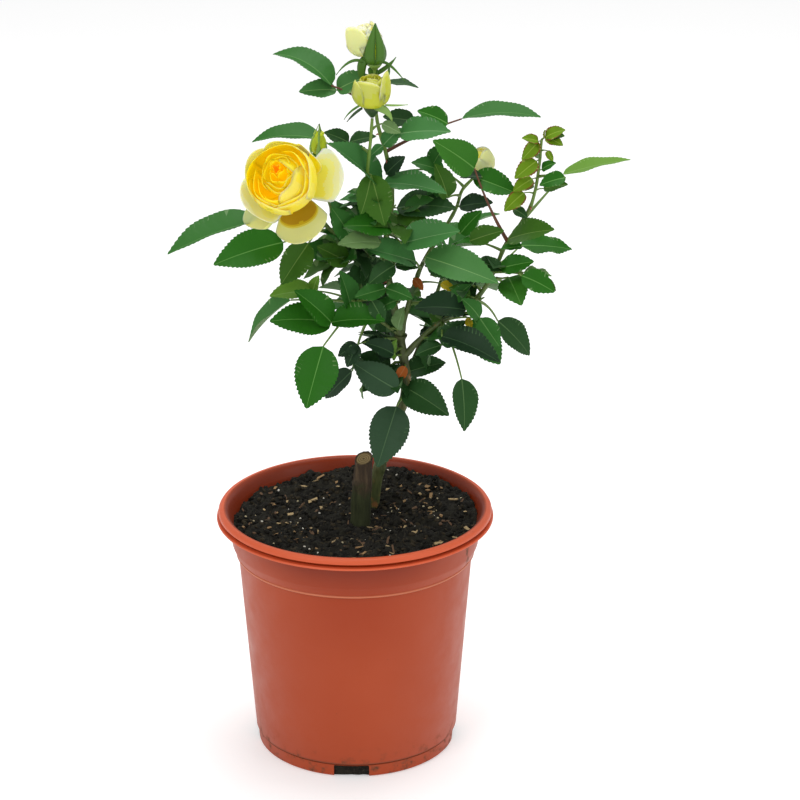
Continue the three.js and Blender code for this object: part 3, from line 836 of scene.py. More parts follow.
class Batch:
    """Collects many small shapes into one mesh."""

    def __init__(self):
        self.points, self.faces, self.zones = [], [], []

    def add(self, points, faces, zone=0):
        first = len(self.points)
        self.points += list(points)
        self.faces += [tuple(first + i for i in face) for face in faces]
        self.zones += [zone] * len(faces) if isinstance(zone, int) else list(zone)

    def piece(self, name, materials, soft=True):
        return mesh_piece(name, self.points, self.faces, materials, self.zones, soft)


canes = Batch()
for limb_name, parent in PARENTS.items():
    if not parent:
        continue
    thick, thin = tapers[limb_name]
    swell = [(lines[child][0], 0.25) for child, owner in PARENTS.items() if owner == limb_name]
    swell += [(at_share(lines[limb_name], s), 0.14) for s in np.arange(0.18, 0.95, 0.19)]
    flare = [thick * 1.4, thick] + list(np.linspace(thick, thin * 0.8, 12))
    canes.add(*tube(lines[limb_name], flare, 14, 0.16 * MM, len(limb_name), swell))

green_bark, green_shader = finish("green cane bark", (0.1, 0.15, 0.03), 0.5)
p = Pattern(green_bark)
streak = p.noise(240, detail=4, vector=p.stretched((1, 1, 0.12)))
color = p.ramp(streak, (0.3, (0.045, 0.085, 0.014)), (0.55, (0.1, 0.17, 0.028)), (0.8, (0.2, 0.27, 0.06)))
old = p.between(p.axis("Z"), 0.4, 0.31)
color = p.mix(p.math("MULTIPLY", old, 0.7), color, (0.06, 0.062, 0.02, 1))
fresh_growth = p.between(p.axis("Z"), 0.42, 0.475)
color = p.mix(p.math("MULTIPLY", fresh_growth, 0.6), color, (0.17, 0.3, 0.03, 1))
p.to(green_shader, "Base Color", color)
p.to(green_shader, "Normal", p.bump(streak, 0.0002, 0.5))
cane_piece = canes.piece("cane_bark", [green_bark])
keep(cane_piece, "green_bark", *[n for n, owner in PARENTS.items() if owner])

# %% [markdown]
# A few prickles stand on the canes and the stem. They are red-brown hooks that point a little down.
# Each is a short tube that runs to nothing.

# %% Prickles
prickles = Batch()
prickle_rng = random.Random(29)
PRICKLES = {"bud_cane": 7, "young_cane": 4, "hidden_cane": 2, "bloom_cane": 2, "main_stem": 3}
for limb_name, count in PRICKLES.items():
    for k in range(count):
        place = (k + prickle_rng.uniform(0.2, 0.8)) / count
        root = at_share(lines[limb_name], 0.05 + 0.8 * place)
        turn = prickle_rng.uniform(0, math.tau)
        out = Vector((math.cos(turn), math.sin(turn), -0.25)).normalized()
        radius = tapers[limb_name][0] * (1 - place) + tapers[limb_name][1] * place
        reach = radius + prickle_rng.uniform(2, 4) * MM
        hook_tip = root + out * reach + Vector((0, 0, -0.9)) * MM
        hook = [root + out * radius * 0.4, root + out * reach * 0.7, hook_tip]
        prickles.add(*tube(np.array([tuple(c) for c in hook]), [1.1 * MM, 0.5 * MM, 0.06 * MM], 6))
prickle_piece = prickles.piece("prickles", [plain("red prickle", (0.32, 0.06, 0.03), 0.45)])
keep(prickle_piece, "green_bark")

# %% [markdown]
# The main stem is the oldest living wood: a thicker tube with deeper relief, its green weathered to
# olive and flecked with rust brown.

# %% Main stem
thick, thin = tapers["main_stem"]
stem_swell = [(lines[child][0], 0.22) for child, owner in PARENTS.items() if owner == "main_stem"]
stem_swell += [(at_share(lines["main_stem"], s), 0.16) for s in (0.28, 0.45, 0.63)]
flare = [thick * 1.15, thick * 1.05] + list(np.linspace(thick, thin, 12))
stem = mesh_piece("main_stem_bark", *tube(lines["main_stem"], flare, 28, 0.5 * MM, 3, stem_swell), [])
brown_bark, brown_shader = finish("weathered green bark", (0.08, 0.09, 0.03), 0.65)
p = Pattern(brown_bark)
streak = p.noise(170, detail=5, vector=p.stretched((1, 1, 0.1)))
color = p.ramp(streak, (0.3, (0.03, 0.042, 0.01)), (0.52, (0.075, 0.095, 0.024)), (0.78, (0.17, 0.16, 0.06)))
rust = p.between(p.noise(60, detail=3), 0.55, 0.68)
color = p.mix(p.math("MULTIPLY", rust, 0.75), color, (0.3, 0.12, 0.035, 1))
p.to(brown_shader, "Base Color", color)
p.to(brown_shader, "Normal", p.bump(streak, 0.0005, 0.7))
stem.data.materials.append(brown_bark)
keep(stem, "green_bark", "main_stem")

# %% [markdown]
# ## The stump
# An old cane was sawn off on the slant above the compost. Its bark is furrowed lengthways, brown above
# and olive with algae below, and the cut shows a rim of bark, pale wood with a few rings, and pith.
# It is drawn as a cylinder that is extruded ring by ring, furrowed, and cut with a bisecting plane.

# %% Draw the stump
stump_foot, stump_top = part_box("stump")[0].z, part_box("stump")[1].z
foot_point, stump_thick = level_cut(*surface("stump"), stump_foot + 10 * MM)
head_point, stump_thin = level_cut(*surface("stump"), stump_top - 18 * MM)
foot_point, head_point = Vector(foot_point), Vector(head_point)
STUMP_RINGS = 62
STUMP_SIDES = 64
STUMP_FLARE = 0.15
KNOT_HEIGHT, KNOT_TURN = 0.222, -2.2
SAW_AZIMUTH, SAW_RISE = math.radians(-110), math.radians(64)
lean = (head_point - foot_point) / (head_point.z - foot_point.z)
start = foot_point - lean * 11 * MM
rise = lean * ((stump_top + 4 * MM - start.z) / STUMP_RINGS)

deselect()
bpy.ops.mesh.primitive_circle_add(
    vertices=STUMP_SIDES, radius=stump_thick * 1.15, fill_type="NGON", location=start
)
stump = bpy.context.object
stump.name = "stump_bark"
bpy.ops.object.transform_apply(location=True)
bpy.ops.object.mode_set(mode="EDIT")
bpy.ops.mesh.select_mode(type="FACE")
bpy.ops.mesh.select_all(action="SELECT")
radius = stump_thick * 1.15
for ring in range(1, STUMP_RINGS + 1):
    share = ring / STUMP_RINGS
    next_radius = stump_thick * (1 - share) + stump_thin * share
    next_radius += STUMP_FLARE * stump_thick * math.exp(-9 * share)
    bpy.ops.mesh.extrude_region_move(TRANSFORM_OT_translate={"value": rise})
    grow = next_radius / radius
    bpy.ops.transform.resize(value=(grow, grow, 1), center_override=start + rise * ring)
    radius = next_radius
bpy.ops.object.mode_set(mode="OBJECT")

for corner in stump.data.vertices:
    middle = start + lean * (corner.co.z - start.z)
    out = corner.co - middle
    if out.length < 1 * MM:
        continue
    angle = math.atan2(out.y, out.x)
    around = Vector((math.cos(angle) * 2.6, math.sin(angle) * 2.6, corner.co.z * 55))
    furrow = 0.55 * MM * (1 - 2 * abs(noise.noise(around)))
    lump = 0.7 * MM * noise.noise(Vector((math.cos(angle), math.sin(angle), corner.co.z * 70)))
    above, beside = (corner.co.z - KNOT_HEIGHT) / (4 * MM), (angle - KNOT_TURN) / 0.5
    knot = 1.6 * MM * math.exp(-(above**2) - beside**2)
    corner.co += out.normalized() * (furrow + lump + knot - 0.3 * MM)

saw_normal = Vector((math.cos(SAW_AZIMUTH) * math.cos(SAW_RISE),
                     math.sin(SAW_AZIMUTH) * math.cos(SAW_RISE),
                     math.sin(SAW_RISE)))
saw_point = start + lean * (stump_top - 2 * MM - start.z)


def is_cut(face):
    """Whether a face of the stump is the sawn end."""
    return face.normal.dot(saw_normal) > 0.98 and len(face.vertices) > 20


deselect()
stump.select_set(True)
bpy.context.view_layer.objects.active = stump
bpy.ops.object.mode_set(mode="EDIT")
bpy.ops.mesh.select_all(action="SELECT")
bpy.ops.mesh.bisect(plane_co=saw_point, plane_no=saw_normal, use_fill=True, clear_outer=True)
bpy.ops.mesh.select_mode(type="FACE")
bpy.ops.object.mode_set(mode="OBJECT")
for face in stump.data.polygons:
    face.select = is_cut(face)
bpy.ops.object.mode_set(mode="EDIT")
bpy.ops.mesh.inset(thickness=0.55 * MM, depth=0.25 * MM)
bpy.ops.mesh.inset(thickness=0.5 * MM, depth=-0.55 * MM)
bpy.ops.object.mode_set(mode="OBJECT")
print("stump faces", len(stump.data.polygons))

# %% [markdown]
# The bark's colour runs in streaks along the stump. The sawn end is pale, with rings round a darker
# pith, and darkens again towards the bark.

# %% Bark and end grain
old_bark, bark_shader = finish("old furrowed bark", (0.06, 0.045, 0.025), 0.85, 0.3)
p = Pattern(old_bark)
streak = p.noise(210, detail=6, roughness=0.7, vector=p.stretched((1, 1, 0.14)))
brown = p.ramp(
    streak,
    (0.32, (0.018, 0.012, 0.008)),
    (0.55, (0.055, 0.036, 0.02)),
    (0.75, (0.13, 0.09, 0.05)),
)
olive = p.ramp(
    streak,
    (0.32, (0.014, 0.018, 0.006)),
    (0.6, (0.038, 0.046, 0.016)),
    (0.8, (0.07, 0.075, 0.03)),
)
level = p.math("ADD", p.axis("Z"), p.math("MULTIPLY", p.noise(80, detail=3), 0.03))
p.to(bark_shader, "Base Color", p.mix(p.between(level, 0.228, 0.24), olive, brown))
p.to(bark_shader, "Normal", p.bump(streak, 0.0006, 0.9))

end_grain, grain_shader = finish("sawn end grain", (0.25, 0.17, 0.07), 0.8, 0.3)
p = Pattern(end_grain)
inputs = {0: p.place, 1: tuple(saw_point)}
offset = p.node("ShaderNodeVectorMath", inputs, operation="SUBTRACT").outputs[0]
distance = p.node("ShaderNodeVectorMath", {0: offset}, operation="LENGTH").outputs["Value"]
wavy = p.math("ADD", distance, p.math("MULTIPLY", p.noise(160, detail=2), 0.0012))
rings = p.math("SINE", p.math("MULTIPLY", wavy, 3800.0))
color = p.ramp(p.math("MULTIPLY", p.math("ADD", rings, 1.0), 0.5),
               (0.1, (0.16, 0.105, 0.042)), (0.9, (0.33, 0.24, 0.11)))
color = p.mix(p.between(distance, 0.0013, 0.0007), color, (0.11, 0.07, 0.03, 1))
color = p.mix(p.between(distance, 0.0055, 0.0068), color, (0.09, 0.055, 0.025, 1))
p.to(grain_shader, "Base Color", color)
stump.data.materials.append(old_bark)
stump.data.materials.append(end_grain)
for face in stump.data.polygons:
    if is_cut(face):
        face.material_index = 1
smooth(stump, 50)
keep(stump, "old_bark", "stump")

# %% [markdown]
# ## Leaflets
# A rose leaf is a stalk with three, five or seven toothed leaflets. Each leaflet is an oval that ends
# in a point, folded a little along its midrib, arched from base to tip, and quilted between its veins.
# One function grows a leaflet from arrays: rows of corners run from base to tip, two for each tooth,
# and the underside hangs just below the upper side and meets it at the margin, so a leaflet is closed.
# Leaves deep in a mass show less, so theirs is the same shape with a single face for each tooth.

# %% Grow a leaflet
WIDEST = 0.38
MIDRIB_HALF = 0.5 * MM
LEAF_THICKNESS = 0.45 * MM
TOP, RIB, EDGE, UNDER = 0, 1, 2, 3


def half_width(u):
    """Half the leaflet's width at a share of its length, 1 at the widest place."""
    blunt, sharp = 0.6, 0.6 * (1 - WIDEST) / WIDEST
    return (u / WIDEST) ** blunt * ((1 - u) / (1 - WIDEST)) ** sharp


class Blade:
    """Bends a flat leaflet: folded along its midrib, arched, twisted and swayed sideways."""

    def __init__(self, length, rng, fold=16.0, arch=25.0, twist=0.0, quilt=0.14, wave=0.6):
        self.length = length
        self.fold, self.arch, self.twist = math.radians(fold), math.radians(arch), math.radians(twist)
        self.quilt, self.wave = quilt * MM, wave * MM
        self.ripple = rng.uniform(0, math.tau)
        self.bend = rng.uniform(-0.06, 0.06) * length

    def place(self, u, across, lift=0.0, forward=0.0):
        """The bent place of a corner from its share along, its distance across and its lift."""
        s = u + forward / self.length
        angle = self.arch * s
        if abs(self.arch) > 0.01:
            x = self.length * math.sin(angle) / self.arch
            z = -self.length * (1 - math.cos(angle)) / self.arch
        else:
            x, z = self.length * s, 0.0
        y, up = across * math.cos(self.fold), abs(across) * math.sin(self.fold) + lift
        turn = self.twist * s
        y, up = y * math.cos(turn) - up * math.sin(turn), y * math.sin(turn) + up * math.cos(turn)
        return Vector((x + up * math.sin(angle), y + self.bend * s * (1 - s), z + up * math.cos(angle)))

    def sway(self, u, side):
        return self.wave * math.sin(u * 13 + self.ripple + side) * half_width(u)


def leaflet(length, width, teeth, rng, edged=False, **shape):
    """Corners, faces and zones of one leaflet that lies along +X with its upper side to +Z."""
    columns = (-1.0, -0.86 if edged else -0.55, -0.06, 0.06, 0.86 if edged else 0.55, 1.0)
    bent = Blade(length, rng, **shape)
    points, faces, zones = [bent.place(0, 0)], [], []

    def put(*corner):
        points.append(bent.place(*corner))
        return len(points) - 1

    upper, under = [], []
    for k in range(1, 2 * teeth):
        u = k / (2 * teeth)
        reach = half_width(u) * width / 2
        tooth = k % 2 * 0.02 * width * (0.5 + half_width(u))
        bulge = bent.quilt * math.cos(math.pi * k / 2) * half_width(u)
        row = []
        for column in columns:
            side = math.copysign(1, column)
            if abs(column) == 1:
                lift = bent.sway(u, side) - tooth * math.sin(bent.fold)
                row.append(put(u, side * (reach + tooth), lift, tooth * 1.3))
            elif abs(column) < 0.1:
                row.append(put(u, side * min(MIDRIB_HALF * (1 - 0.7 * u), reach * 0.4), -0.12 * MM))
            else:
                row.append(put(u, column * reach, bulge, reach * 0.18))
        upper.append(row)
        middle = []
        for column in (-0.55, 0.0, 0.55):
            out = abs(column)
            drop = LEAF_THICKNESS * (1 - out * 0.4)
            middle.append(put(u, column * reach, out * bulge - drop, out * reach * 0.3))
        under.append([row[0], *middle, row[-1]])
    tip = put(1, 0)

    def upper_zone(c):
        return RIB if c == 2 else EDGE if edged and c in (0, 4) else TOP

    for rows, zone_of in ((upper, upper_zone), ([row[::-1] for row in under], lambda c: UNDER)):
        steps = range(len(rows[0]) - 1)
        for a, b in zip(rows, rows[1:]):
            faces += [(a[c + 1], b[c + 1], b[c], a[c]) for c in steps]
            zones += [zone_of(c) for c in steps]
        faces += [(rows[0][c + 1], rows[0][c], 0) for c in steps]
        faces += [(rows[-1][c], rows[-1][c + 1], tip) for c in steps]
        zones += [zone_of(c) for c in steps] * 2
    return points, faces, zones


def light_leaflet(length, width, rng, teeth=6, **shape):
    """The same leaflet with a single face for each tooth, for leaves inside a mass."""
    bent = Blade(length, rng, **shape)
    points, faces, zones = [], [], []

    def put(*corner):
        points.append(bent.place(*corner))
        return len(points) - 1

    base, end = put(0, 0), put(1, 0)
    ribs = [base] + [put(k / teeth, 0) for k in range(1, teeth)] + [end]
    keels = [base] + [put(k / teeth, 0, -LEAF_THICKNESS) for k in range(1, teeth)] + [end]
    for side in (-1, 1):
        notches, tips = [base], []
        for k in range(1, teeth + 1):
            u = (k - 0.25) / teeth
            reach = half_width(u) * width / 2
            tips.append(put(u, side * reach * 1.07, bent.sway(u, side)))
            if k < teeth:
                u = k / teeth
                notches.append(put(u, side * half_width(u) * width / 2, bent.sway(u, side)))
        notches.append(end)
        for middle, zone, flip in ((ribs, TOP, side > 0), (keels, UNDER, side < 0)):
            for k in range(teeth):
                ring = [middle[k], notches[k], tips[k], notches[k + 1], middle[k + 1]]
                ring = [corner for i, corner in enumerate(ring) if corner not in ring[:i]]
                faces.append(ring[::-1] if flip else ring)
                zones.append(zone)
    return points, faces, zones


# %% [markdown]
# The tints are plain colours, dealt out leaf by leaf, and they carry painted light and shade: the
# bright and light greens are painted light on the upper leaves, the deep, dark and slate ones painted
# shade at the heart and the foot, and the blue one a painted sheen of the sky. Each tint has its own
# rib and underside, and the young shoot is yellow-green with red margins.

# %% Leaf tints
# Painted light and shade: each tint's green stands partly for how lit the leaf is.
TINTS = {
    "bright": ((0.055, 0.178, 0.042), (0.15, 0.31, 0.09), (0.17, 0.3, 0.11)),
    "vivid": ((0.034, 0.158, 0.012), (0.11, 0.29, 0.05), (0.14, 0.28, 0.08)),
    "fresh": ((0.02, 0.125, 0.007), (0.1, 0.27, 0.05), (0.13, 0.25, 0.08)),
    "mid": ((0.03, 0.135, 0.02), (0.1, 0.24, 0.06), (0.12, 0.23, 0.09)),
    "blue": ((0.048, 0.175, 0.042), (0.13, 0.28, 0.1), (0.14, 0.24, 0.12)),
    "olive": ((0.04, 0.12, 0.01), (0.12, 0.22, 0.04), (0.13, 0.22, 0.07)),
    "deep": ((0.02, 0.07, 0.016), (0.07, 0.15, 0.045), (0.08, 0.16, 0.06)),
    "dark": ((0.015, 0.042, 0.017), (0.045, 0.1, 0.04), (0.06, 0.13, 0.05)),
    "slate": ((0.032, 0.075, 0.035), (0.07, 0.14, 0.06), (0.07, 0.14, 0.06)),
    "light": ((0.118, 0.26, 0.026), (0.2, 0.36, 0.07), (0.22, 0.38, 0.1)),
    "pale": ((0.13, 0.23, 0.08), (0.2, 0.32, 0.13), (0.12, 0.22, 0.08)),
    "young": ((0.12, 0.23, 0.006), (0.22, 0.34, 0.03), (0.24, 0.28, 0.05)),
    "rust": ((0.33, 0.085, 0.012), (0.36, 0.12, 0.03), (0.3, 0.1, 0.03)),
    "straw": ((0.5, 0.38, 0.012), (0.5, 0.4, 0.05), (0.45, 0.35, 0.05)),
}
TINT_ORDER = list(TINTS)
leaf_materials = []
for tint, (top, rib, under) in TINTS.items():
    edge = (0.16, 0.06, 0.01) if tint == "young" else top
    leaf_materials += [
        plain(f"{tint} leaf", top, 0.47, 0.12),
        plain(f"{tint} rib", rib, 0.5, 0.2),
        plain(f"{tint} margin", edge, 0.5, 0.2),
        plain(f"{tint} underside", under, 0.65, 0.15),
    ]


def heading(azimuth, rise):
    a, r = math.radians(azimuth), math.radians(rise)
    return Vector((math.cos(a) * math.cos(r), math.sin(a) * math.cos(r), math.sin(r)))


def upward_side(along, face):
    """The upper side of a blade whose far edge is raised from level by face degrees."""
    level = Vector((0, 0, 1)).cross(along)
    if level.length < 0.05:
        level = Vector((0, 1, 0)) - along * along.y
    level.normalize()
    if level.y < 0:
        level.negate()
    raised = along.cross(level)
    if raised.z < 0:
        raised.negate()
    return (raised * math.cos(math.radians(face)) - level * math.sin(math.radians(face))).normalized()


def set_leaflet(batch, root, along, upward, length, width, tint, rng, light=False, **shape):
    """Adds a leaflet from a root to the tip that lies length away along a direction."""
    by_chance = {"arch": rng.uniform(12, 34), "fold": rng.uniform(9, 24), "twist": rng.uniform(-13, 13)}
    shape = {**by_chance, **shape}
    half = math.radians(shape["arch"]) / 2
    cos, sin = math.cos(half), math.sin(half)
    along = along.normalized()
    upward = (upward - along * upward.dot(along)).normalized()
    across = upward.cross(along)
    along, upward = along * cos + upward * sin, upward * cos - along * sin
    if abs(half) > 0.01:
        length *= half / sin
    if light:
        points, faces, zones = light_leaflet(length, width, rng, **shape)
    else:
        teeth = max(9, min(19, round(length / MM / 3)))
        points, faces, zones = leaflet(length, width, teeth, rng, edged=tint == "young", **shape)
    placed = [root + along * p.x + across * p.y + upward * p.z for p in points]
    first = TINT_ORDER.index(tint) * 4
    batch.add(placed, faces, [first + z for z in zones])


def bezier(start, middle, end, share):
    return start * (1 - share) ** 2 + middle * 2 * share * (1 - share) + end * share**2


# %% [markdown]
# ## The leaves that stand clear
# The big outer leaves give the rose its outline, so each is placed by itself: from the end of its
# stalk to its tip, in millimetres to the right, to the back and up from the middle of the pot. Its
# stalk leaves its cane with a first rise and sags from there. Face is how far the far edge is raised
# from level, and shape is what is special, such as a strong arch. Most of the tips were worked out by
# another program and typed in here.

# %% Rows of outer leaves
# node: cane, share along it, first rise, end of the stalk, tip, width, face, tint, shape
LEAVES = {
    "leaf_top_left": ("bud_cane", 0.85, 45, (-16, 5, 541), (-61, 30, 559), 31, 0, "mid", {"arch": 60}),
    "leaf_top_right": ("bud_cane", 0.9, 15, (25, 23, 538), (50, 17, 536), 14, 10, "deep", {}),
    "leaf_left_above": ("bud_cane", 0.55, 35, (-24, 36, 490), (-79, 41, 487), 28, 10, "mid", {"arch": 43}),
    "leaf_mid_left": ("bud_cane", 0.55, 50, (21, -4, 464), (-18, -24, 504), 31, 40, "blue", {"fold": 30}),
    "leaf_right_above": ("bud_cane", 0.7, 20, (83, 36, 507), (144, 33, 509), 36, 0, "mid", {"arch": 32}),
    "leaf_mid_right": ("bud_cane", 0.55, 25, (22, -4, 467), (71, -22, 464), 27, 20, "blue", {"wave": 1.2}),
    "leaf_big_serrate": ("young_cane", 0.6, 60, (92, -8, 480), (60, -30, 508), 26, 85, "vivid", {}),
    "leaf_far_right": ("young_cane", 0.7, 30, (161, 25, 466), (213, 24, 478), 28, 5, "light", {"arch": 14}),
    "leaf_right_a": ("young_cane", 0.6, 30, (119, -7, 424), (152, -35, 440), 25, 35, "olive", {}),
    "leaf_right_b": ("young_cane", 0.5, 10, (129, 18, 411), (170, 30, 404), 23, 25, "fresh", {"wave": 1.6}),
    "leaf_right_c": ("young_cane", 0.5, 0, (130, -16, 400), (152, -16, 397), 11, 25, "pale", {"wave": 1.6}),
    "leaf_right_hang": ("young_cane", 0.45, -10, (119, -9, 394), (128, -36, 380), 23, 25, "vivid", {}),
    "leaf_right_low": ("young_cane", 0.35, -20, (112, 16, 350), (138, 25, 318), 23, 65, "deep", {}),
    "leaf_right_dark": ("young_cane", 0.2, -5, (68, -21, 350), (112, -41, 336), 27, 30, "dark", {"fold": 30}),
    "leaf_low_right": ("young_cane", 0.2, -25, (83, -36, 321), (85, -48, 282), 22, -10, "deep", {}),
    "leaf_stem_right_low": ("main_stem", 0.7, 5, (39, 8, 298), (74, -19, 284), 27, 50, "deep", {}),
    "leaf_stem_right_up": ("main_stem", 0.8, 15, (39, 11, 308), (72, 25, 312), 20, 40, "deep", {}),
    "leaf_front_hang": ("main_stem", 0.7, -45, (33, 4, 283), (18, -20, 241), 32, 30, "slate", {}),
    "leaf_stem_left": ("main_stem", 0.8, 10, (34, -8, 301), (-1, -3, 322), 25, 65, "slate", {}),
    "leaf_low_left": (
        "low_left_cane", 0.95, -35, (-23, -32, 346), (-36, -51, 302), 34, 35, "fresh", {"arch": 12},
    ),
    "leaf_low_small": ("low_left_cane", 0.65, -45, (-2, 25, 305), (-24, 35, 278), 19, 60, "dark", {}),
    "leaf_left_mid": (
        "low_left_cane", 0.95, 5, (-49, 4, 371), (-83, 13, 333), 26, 25, "bright", {"fold": 30},
    ),
    "leaf_far_left": ("bloom_cane", 0.6, 40, (-69, -17, 442), (-140, -34, 420), 44, 0, "mid", {}),
    "leaf_left_second": ("bloom_cane", 0.85, -60, (-52, -38, 431), (-104, -53, 418), 31, 50, "fresh", {}),
    "leaf_left_hang": ("bloom_cane", 0.75, -35, (-34, -11, 422), (-55, -21, 392), 24, 60, "olive", {}),
    "leaf_front_big": ("hidden_cane", 0.45, 15, (55, -24, 415), (110, -42, 400), 33, 35, "bright", {}),
    "leaf_front_mid": ("hidden_cane", 0.4, 30, (48, -14, 408), (7, -32, 425), 27, 35, "blue", {}),
}
stalks = Batch()
STALK_TINTS = {"green": 0, "brown": 1}
BROWN_STALKS = ("leaf_big_serrate", "leaf_top_left", "leaf_right_above")


def add_stalk(points, thick, thin, tint="green", sides=6):
    line = evenly(np.array([tuple(p) for p in points]), 3 * MM)
    stalks.add(*tube(line, [thick * 1.7, thick, thin], sides), STALK_TINTS[tint])


def heading_to(start, end, rise):
    """The direction from start towards end in plan, at its own rise."""
    return heading(math.degrees(math.atan2(end.y - start.y, end.x - start.x)), rise)


leaf_rng = random.Random(71)
green_leaves, young_leaves, front_leaves = Batch(), Batch(), Batch()
for node, (cane, share, rise, root, tip, width, face, tint, shape) in LEAVES.items():
    start, root, tip = at_share(lines[cane], share), Vector(root) * MM, Vector(tip) * MM
    middle = start + heading_to(start, root, rise) * (root - start).length * 0.5
    stalk_tint = "brown" if node in BROWN_STALKS else "green"
    add_stalk([bezier(start, middle, root, k / 10) for k in range(11)], 0.95 * MM, 0.65 * MM, stalk_tint)
    along = tip - root
    upward = upward_side(along.normalized(), face)
    set_leaflet(green_leaves, root, along, upward, along.length, width * MM, tint, leaf_rng, **shape)

# %% [markdown]
# How the leaves at the back are turned isn't known, so their face is a guess. Their packed pads give
# their tips, and each is a whole compound leaf: an end leaflet, and a pair of side leaflets a little
# way down the stalk.

# %% Back leaves
# node: cane, share along it, first rise, (length, width, face) of its end leaflet, lengths of its
# pairs of side leaflets, tint
BACK_LEAVES = {
    "leaf_back_up": ("back_left_cane", 1, 30, (46, 30, -20), (40,), "mid"),
    "leaf_back_low": ("back_left_cane", 0.6, -5, (46, 30, -30), (40,), "deep"),
    "leaf_back_right": ("back_right_cane", 1, 10, (46, 30, -20), (40,), "mid"),
}
SIDE_PLACE, SIDE_STEP = 0.86, 0.34


def pad_tip(node, start):
    """The corner of a packed pad that lies farthest from its stalk's start."""
    return max((v.co for v in solids[node].data.vertices), key=lambda c: (c - start).length).copy()


def compound_leaf(batch, start, tip, rise, blade, sides, tint, rng):
    """A stalk from start, an end leaflet whose point reaches tip, and pairs of side leaflets."""
    length, width, face = blade[0] * MM, blade[1] * MM, blade[2]
    middle = start + heading_to(start, tip, rise) * (tip - start).length * 0.5
    joint = min((k / 60 for k in range(4, 60)),
                key=lambda share: abs((bezier(start, middle, tip, share) - tip).length - length))
    hub = bezier(start, middle, tip, joint)
    add_stalk([bezier(start, middle, tip, joint * k / 10) for k in range(11)], 0.95 * MM, 0.65 * MM)
    along = (tip - hub).normalized()
    set_leaflet(batch, hub, along, upward_side(along, face), length, width, tint, rng)
    for pair, side_length in enumerate(sides):
        place = joint * (SIDE_PLACE - SIDE_STEP * pair)
        root = bezier(start, middle, tip, place)
        forward = (bezier(start, middle, tip, place + 0.02) - root).normalized()
        side_up = upward_side(forward, face)
        across = side_up.cross(forward)
        for side in (-1, 1):
            out = (forward * 0.6 + across * 0.8 * side).normalized()
            size = side_length * rng.uniform(0.92, 1.05) * MM
            set_leaflet(batch, root + out * 1.2 * MM, out, side_up, size, size * 0.62, tint, rng)


for node, (cane, share, rise, blade, sides, tint) in BACK_LEAVES.items():
    start = at_share(lines[cane], share)
    compound_leaf(green_leaves, start, pad_tip(node, start), rise, blade, sides, tint, leaf_rng)

# %% [markdown]
# Between the masses and the outer leaves are the sprays that close the crown's front, and at the tip
# of the young cane are small ones, still curled. Each spray has the place where its leaflets meet, and
# each leaflet its turn, as on a clock seen from the front with 0 upright and 90 to the right, and its
# length. Breadth, tilt and curl follow from these and from chance, and the stalk runs back to the
# nearest cane. No rule gives the places: most of them were worked out by a scratch program outside
# this script and typed in here, as the report says.

# %% Set the front sprays
SPRAYS = (
    ("dark", (25, -2, 474), ((45, 21),)),
    ("olive", (14, -18, 478), ((-165, 31), (165, 40))),
    ("deep", (33, 2, 446), ((88, 46),)),
    ("blue", (37, -22, 425), ((75, 46),)),
    ("pale", (21, -26, 427), ((-90, 33),)),
    ("fresh", (31, -18, 436), ((-85, 39),)),
    ("mid", (-1, -12, 425), ((-30, 31),)),
    ("olive", (-3, -10, 406), ((-60, 29),)),
    ("mid", (70, 8, 472), ((-70, 28), (-150, 24))),
    ("olive", (72, 2, 454), ((-20, 30),)),
    ("dark", (81, 12, 444), ((80, 27),)),
    ("fresh", (82, 4, 425), ((40, 26),)),
    ("deep", (47, 14, 511), ((-80, 25),)),
    ("blue", (35, -4, 506), ((85, 40),)),
    ("pale", (22, -8, 515), ((115, 16),)),
    ("fresh", (72, 6, 511), ((-65, 26),)),
    ("blue", (23, -4, 497), ((45, 20), (-130, 13))),
    ("deep", (-3, 4, 497), ((-65, 21), (75, 22))),
    ("light", (-31, -12, 384), ((-95, 34), (20, 14))),
    ("fresh", (-17, -20, 361), ((-85, 48), (85, 42), (-45, 40))),
    ("mid", (-2, -10, 369), ((-15, 34),)),
    ("dark", (3, -11, 340), ((-120, 18), (-155, 20))),
    ("dark", (31, -14, 333), ((-65, 25),)),
    ("dark", (86, -20, 371), ((-95, 24), (-85, 40))),
    ("deep", (68, -13, 340), ((-110, 22), (40, 28))),
    ("olive", (90, -8, 378), ((-65, 19),)),
    ("fresh", (161, -12, 474), ((-105, 21),)),
    ("fresh", (91, 2, 471), ((110, 36),)),
    ("olive", (89, -6, 422), ((70, 28),)),
    ("fresh", (129, -14, 420), ((-95, 17),)),
    ("fresh", (128, -30, 402), ((115, 28),)),
    ("fresh", (112, -18, 404), ((75, 27),)),
    ("deep", (95, -14, 408), ((105, 23),)),
    ("mid", (97, -18, 364), ((-40, 22), (145, 27))),
    ("deep", (32, -22, 408), ((-125, 25), (95, 18))),
    ("mid", (25, -18, 388), ((-105, 25), (110, 22))),
    ("deep", (14, -20, 379), ((150, 20),)),
    ("mid", (33, -14, 377), ((-115, 21),)),
    ("deep", (57, -12, 407), ((130, 19),)),
    ("mid", (76, -14, 377), ((45, 20),)),
    ("bright", (-12, 7, 537), ((-90, 29), (65, 28))),
    ("dark", (98, 0, 471), ((-90, 17),)),
    ("pale", (130, -24, 401), ((130, 17),)),
    ("olive", (143, -26, 397), ((125, 14),)),
    ("mid", (93, 8, 355), ((150, 42),)),
    ("light", (29, -6, 327), ((15, 17),)),
    ("pale", (34, -8, 351), ((15, 21),)),
    ("mid", (59, 10, 474), ((30, 26),)),
    ("pale", (7, -6, 305), ((180, 12),)),
    ("rust", (40, 0, 318), ((-150, 14),)),
    ("rust", (46, 0, 390), ((140, 12),)),
    ("straw", (67, 0, 386), ((115, 12),)),
    ("straw", (88, -8, 361), ((165, 10),)),
)
